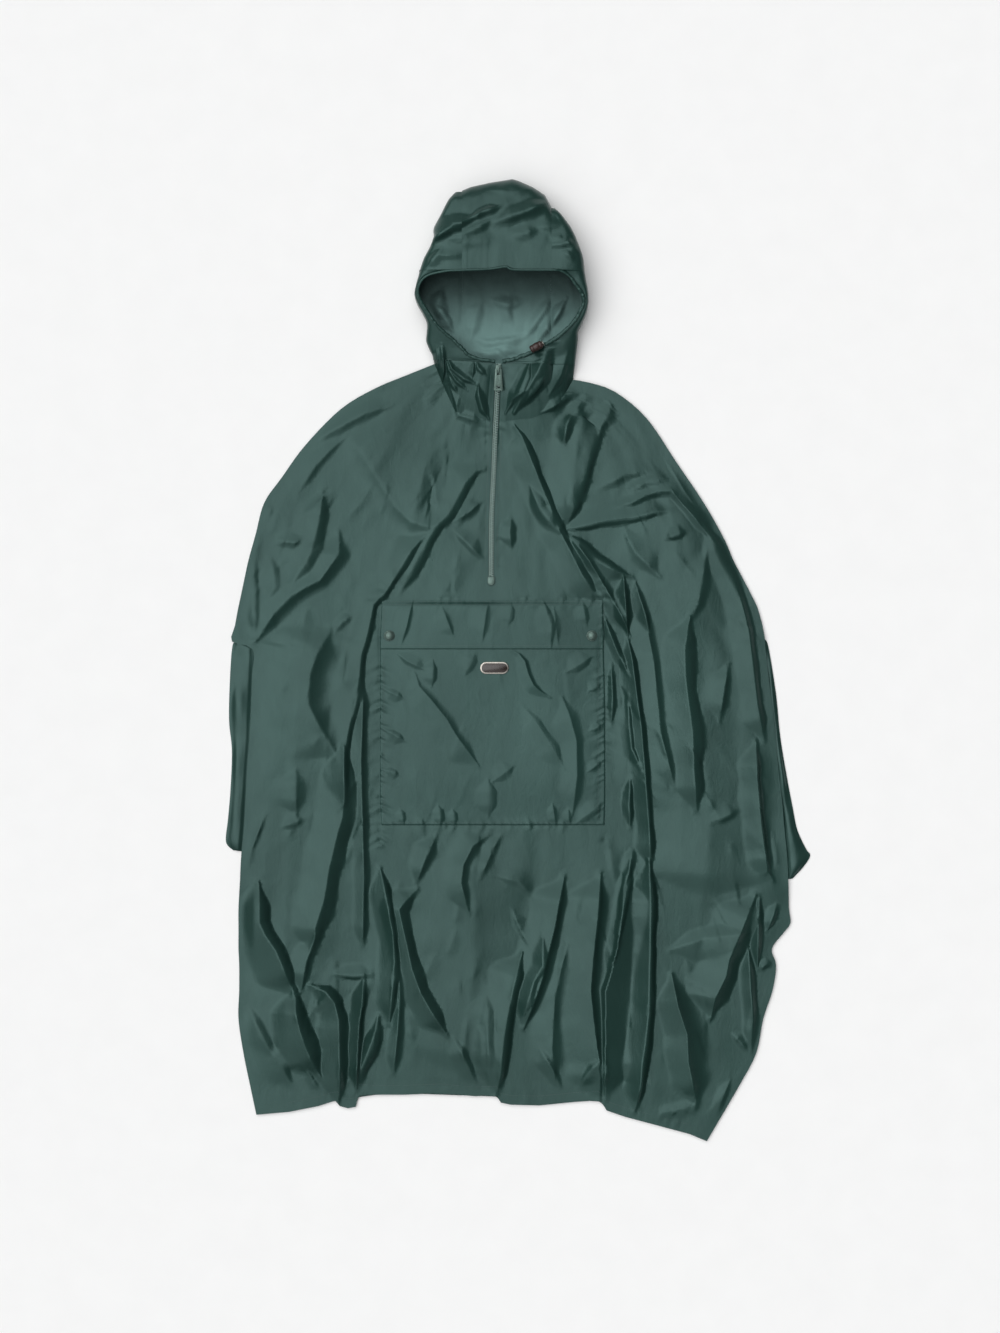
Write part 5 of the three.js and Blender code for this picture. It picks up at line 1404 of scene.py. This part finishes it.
def rounded_copy(node, name, width, finish, body):
    """A copy of a hard solid with its edges rounded."""
    bm = bmesh.new()
    bm.from_mesh(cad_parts[node].data)
    bmesh.ops.remove_doubles(bm, verts=bm.verts, dist=0.00002)
    bmesh.ops.dissolve_limit(bm, angle_limit=math.radians(2), verts=bm.verts, edges=bm.edges)
    edges = [e for e in bm.edges if len(e.link_faces) == 2 and e.calc_face_angle() > math.radians(25)]
    bmesh.ops.bevel(
        bm, geom=edges, offset=width * MM, offset_type="OFFSET", segments=2, profile=0.5,
        affect="EDGES", clamp_overlap=True, material=-1)
    return piece(name, bm, finish_of(finish), body=body, replaces=[node])


# Fasteners

def spun(profile, centre, axis=UP, steps=32):
    """A turned shape from a profile of (radius, height) points in millimetres."""
    bm = bmesh.new()
    verts = [bm.verts.new((r * MM, 0, h * MM)) for r, h in profile]
    edges = [bm.edges.new(pair) for pair in zip(verts, verts[1:])]
    bmesh.ops.spin(
        bm, geom=verts + edges, cent=(0, 0, 0), axis=UP, angle=2 * math.pi, steps=steps,
        use_merge=True)
    bmesh.ops.remove_doubles(bm, verts=bm.verts, dist=0.000005)
    bmesh.ops.recalc_face_normals(bm, faces=bm.faces)
    turn = UP.rotation_difference(axis).to_matrix().to_4x4()
    bmesh.ops.transform(bm, matrix=Matrix.Translation(Vector(centre) * MM) @ turn, verts=bm.verts)
    return bm


def build_studs():
    cap = [(0, 0.1), (6.2, 0.1), (7.1, 0.3), (7.5, 0.8), (7.4, 1.3), (6.9, 1.6), (6.5, 1.7), (6.2, 2.0),
        (5.2, 2.8), (3.9, 3.5), (2.4, 3.9), (1.1, 4.1), (0, 4.1)]
    for name, node in (("stud_cap_left", "stud_left"), ("stud_cap_right", "stud_right")):
        low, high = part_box(node)
        centre = ((low[0] + high[0]) / 2 / MM, (low[1] + high[1]) / 2 / MM, low[2] / MM)
        piece(name, spun(cap, centre), finish_of("metal"), replaces=[node])


def build_plate():
    """A plain oblong plate with round ends, and no mark on it."""
    rounded_copy("plate_frame", "plate_rim", 0.5, "steel", GARMENT)
    rounded_copy("plate_face", "plate_enamel", 0.15, "enamel", GARMENT)


LOCK_AT = (26, 437, 35.6)
LOCK_TURN = math.radians(28)


def build_cord_lock():
    way = Vector((math.cos(LOCK_TURN), math.sin(LOCK_TURN), 0))
    barrel = [(0, -10), (3.6, -10), (4.8, -9.4), (5.4, -8), (5.5, -6), (5.1, -5.4), (5.1, -4.6),
        (5.6, -4), (5.8, -1), (5.6, 2.6), (5.1, 3.2), (5.1, 4), (5.5, 4.6), (5.3, 6.6), (4.4, 7.8),
        (3.2, 8), (0, 8)]
    piece("cord_lock_barrel", spun(barrel, LOCK_AT, way), finish_of("lock"), replaces=["cord_lock"])
    ring = [(2.2, 8.5), (3.4, 8.3), (4.3, 8.7), (4.6, 9.2), (4.3, 9.8), (3.4, 10.1), (2.2, 9.9),
        (1.9, 9.2), (2.2, 8.5)]
    piece("cord_eyelet_ring", spun(ring, LOCK_AT, way), finish_of("steel"), replaces=["cord_eyelet"])


# Sewing

STITCH_RISE = 0.08  # of a stitch's middle over the cloth


def stitch_row(bm, line, height):
    """Stitches along a line of (x, y) places; height(x, y) is the cloth's upper face."""
    s = sizes()
    flat = [(x, y, 0) for x, y in line]
    for at, way in even_points(flat, s.stitch + s.stitch_gap):
        ends = [at - way * s.stitch / 2, at + way * s.stitch / 2]
        a, b = (Vector((p.x, p.y, height(p.x, p.y))) for p in ends)
        if (b - a).length > s.stitch * 2:
            continue
        centre = (a + b) / 2 + Vector((0, 0, STITCH_RISE))
        size = ((b - a).length, s.thread, s.thread * 0.8)
        add_block(bm, centre, (b - a).normalized(), UP, size)


def build_stitching():
    flap = bmesh.new()
    for y in (83.5, 79.5):
        stitch_row(flap, ((-188, y), (116, y)), flap_z)
    stitch_row(flap, ((-187, 22), (114, 22)), flap_z)
    for x in (-187.5, 114.5):
        stitch_row(flap, ((x, 76), (x, 20)), flap_z)
    piece("flap_stitches", flap, finish_of("thread"), is_smooth=False)
    bag = bmesh.new()
    stitch_row(bag, ((-187.5, 15), (-187.5, -225), (116, -225)), bag_z)
    for x in (112, 117):
        stitch_row(bag, ((x, 15), (x, -222)), bag_z)
    piece("pocket_stitches", bag, finish_of("thread"), is_smooth=False)
    front = bmesh.new()
    inset = sizes().hem
    hem = [(x, y + inset) for x, y in HEM[1:-1]]
    stitch_row(front, hem, front_z)
    for side in (-1, 1):
        line = [(section_at(i / 2).zip[0] + side * 8.5, section_at(i / 2).zip[1]) for i in range(1, 18)]
        stitch_row(front, line, front_z)
    piece("front_stitches", front, finish_of("thread"), is_smooth=False)


# Stage

# Two wide soft lights far off to the left, so that their light is even over the whole floor: the
# name, the share of the key light and the side that it comes from.
LIGHTS = (("upper_light", 0.66, (-1.2, 1.5, 3.2)), ("lower_light", 0.34, (-1.2, -1.2, 3.2)))
VIEW_AT = (-0.0252, -0.007)  # middle of the picture on the surface
FLOOR_DEPTH = 0.0003
FLOOR_HALF = 6


def look_at(obj, target):
    obj.rotation_mode = "QUATERNION"
    obj.rotation_quaternion = (Vector(target) - obj.location).to_track_quat("-Z", "Y")


def build_stage():
    stage = bpy.context.scene.poncho_stage
    bm = bmesh.new()
    bmesh.ops.create_grid(bm, x_segments=1, y_segments=1, size=FLOOR_HALF)
    bmesh.ops.translate(bm, verts=bm.verts, vec=(0, 0, -FLOOR_DEPTH))
    mesh = bpy.data.meshes.new("floor")
    bm.to_mesh(mesh)
    bm.free()
    mesh.materials.append(hard_material("pale_floor", colours().floor, 0.75, 0, grain=2, depth=0.0,
        wear=0.01))
    floor = bpy.data.objects.new("floor", mesh)
    bpy.context.scene.collection.objects.link(floor)
    for name, share, place in LIGHTS:
        data = bpy.data.lights.new(name, "SUN")
        data.energy = stage.key * share
        data.angle = stage.spread
        lamp = bpy.data.objects.new(name, data)
        bpy.context.scene.collection.objects.link(lamp)
        lamp.location = place
        look_at(lamp, (0, 0, 0))
    world = bpy.data.worlds.new("studio")
    world.use_nodes = True
    world.node_tree.nodes["Background"].inputs["Color"].default_value = (0.93, 0.96, 1, 1)
    world.node_tree.nodes["Background"].inputs["Strength"].default_value = stage.sky
    bpy.context.scene.world = world
    bpy.context.scene.view_settings.view_transform = "Standard"
    # The camera looks straight down; its frame is 1.4 m by 1.866 m on the surface.
    distance, frame_height, sensor = 4.0, 1.8662, 36.0
    data = bpy.data.cameras.new("camera")
    data.sensor_width = sensor
    data.lens = sensor * distance / frame_height
    camera = bpy.data.objects.new("camera", data)
    bpy.context.scene.collection.objects.link(camera)
    camera.location = (*VIEW_AT, distance)
    bpy.context.scene.camera = camera


class PONCHO_OT_stage(bpy.types.Operator):
    """Make the floor, the lights and the camera"""

    bl_idname = "poncho.stage"
    bl_label = "Stage"

    def execute(self, context):
        build_stage()
        return {"FINISHED"}


class PONCHO_OT_body(bpy.types.Operator):
    """Make the front and back panels and the sides of the back"""

    bl_idname = "poncho.body"
    bl_label = "Front, back and sides"

    def execute(self, context):
        build_back()
        build_sides()
        build_front()
        return {"FINISHED"}


class PONCHO_OT_pocket(bpy.types.Operator):
    """Make the pocket's bag and flap"""

    bl_idname = "poncho.pocket"
    bl_label = "Pocket"

    def execute(self, context):
        build_pocket()
        return {"FINISHED"}


class PONCHO_OT_hood(bpy.types.Operator):
    """Make the hood's three panels and the casing round its opening"""

    bl_idname = "poncho.hood"
    bl_label = "Hood"

    def execute(self, context):
        build_hood()
        build_casing()
        return {"FINISHED"}


class PONCHO_OT_collar(bpy.types.Operator):
    """Make the gathered collar on both sides of the zip"""

    bl_idname = "poncho.collar"
    bl_label = "Collar"

    def execute(self, context):
        build_collar("collar_cloth_left", "collar_left", True)
        build_collar("collar_cloth_right", "collar_right", False)
        return {"FINISHED"}


class PONCHO_OT_zip(bpy.types.Operator):
    """Make the zip's tape, teeth, slider, pull and stop"""

    bl_idname = "poncho.zip"
    bl_label = "Zip"

    def execute(self, context):
        build_zip()
        return {"FINISHED"}


class PONCHO_OT_fasteners(bpy.types.Operator):
    """Make the press studs, the plain plate and the cord lock"""

    bl_idname = "poncho.fasteners"
    bl_label = "Fasteners"

    def execute(self, context):
        build_studs()
        build_plate()
        build_cord_lock()
        return {"FINISHED"}


class PONCHO_OT_stitching(bpy.types.Operator):
    """Sew the stitches of the pocket, the hem and the zip"""

    bl_idname = "poncho.stitching"
    bl_label = "Stitching"

    def execute(self, context):
        build_stitching()
        return {"FINISHED"}


class PONCHO_PT_sidebar(bpy.types.Panel):
    """Lists the poncho's operators, sizes and colours"""

    bl_idname = "PONCHO_PT_sidebar"
    bl_label = "Rain poncho"
    bl_space_type = "VIEW_3D"
    bl_region_type = "UI"
    bl_category = "Poncho"

    def draw(self, context):
        for operator in OPERATORS:
            self.layout.operator(operator.bl_idname)
        for group in (context.scene.poncho_sizes, context.scene.poncho_colours, context.scene.poncho_stage):
            box = self.layout.box()
            for name in group.__annotations__:
                box.prop(group, name)


OPERATORS = (
    PONCHO_OT_stage, PONCHO_OT_body, PONCHO_OT_pocket, PONCHO_OT_hood, PONCHO_OT_collar, PONCHO_OT_zip,
    PONCHO_OT_fasteners, PONCHO_OT_stitching)
GROUPS = {"poncho_sizes": PonchoSizes, "poncho_colours": PonchoColours, "poncho_stage": PonchoStage}


def register():
    for cls in (*GROUPS.values(), *OPERATORS, PONCHO_PT_sidebar):
        bpy.utils.register_class(cls)
    for name, group in GROUPS.items():
        setattr(bpy.types.Scene, name, PointerProperty(type=group))


def unregister():
    for name in GROUPS:
        delattr(bpy.types.Scene, name)
    for cls in reversed((*GROUPS.values(), *OPERATORS, PONCHO_PT_sidebar)):
        bpy.utils.unregister_class(cls)


def main():
    register()
    poncho = bpy.ops.poncho
    poncho.stage()
    poncho.body()
    poncho.pocket()
    poncho.hood()
    poncho.collar()
    poncho.zip()
    poncho.fasteners()
    poncho.stitching()


if __name__ == "__main__":
    main()
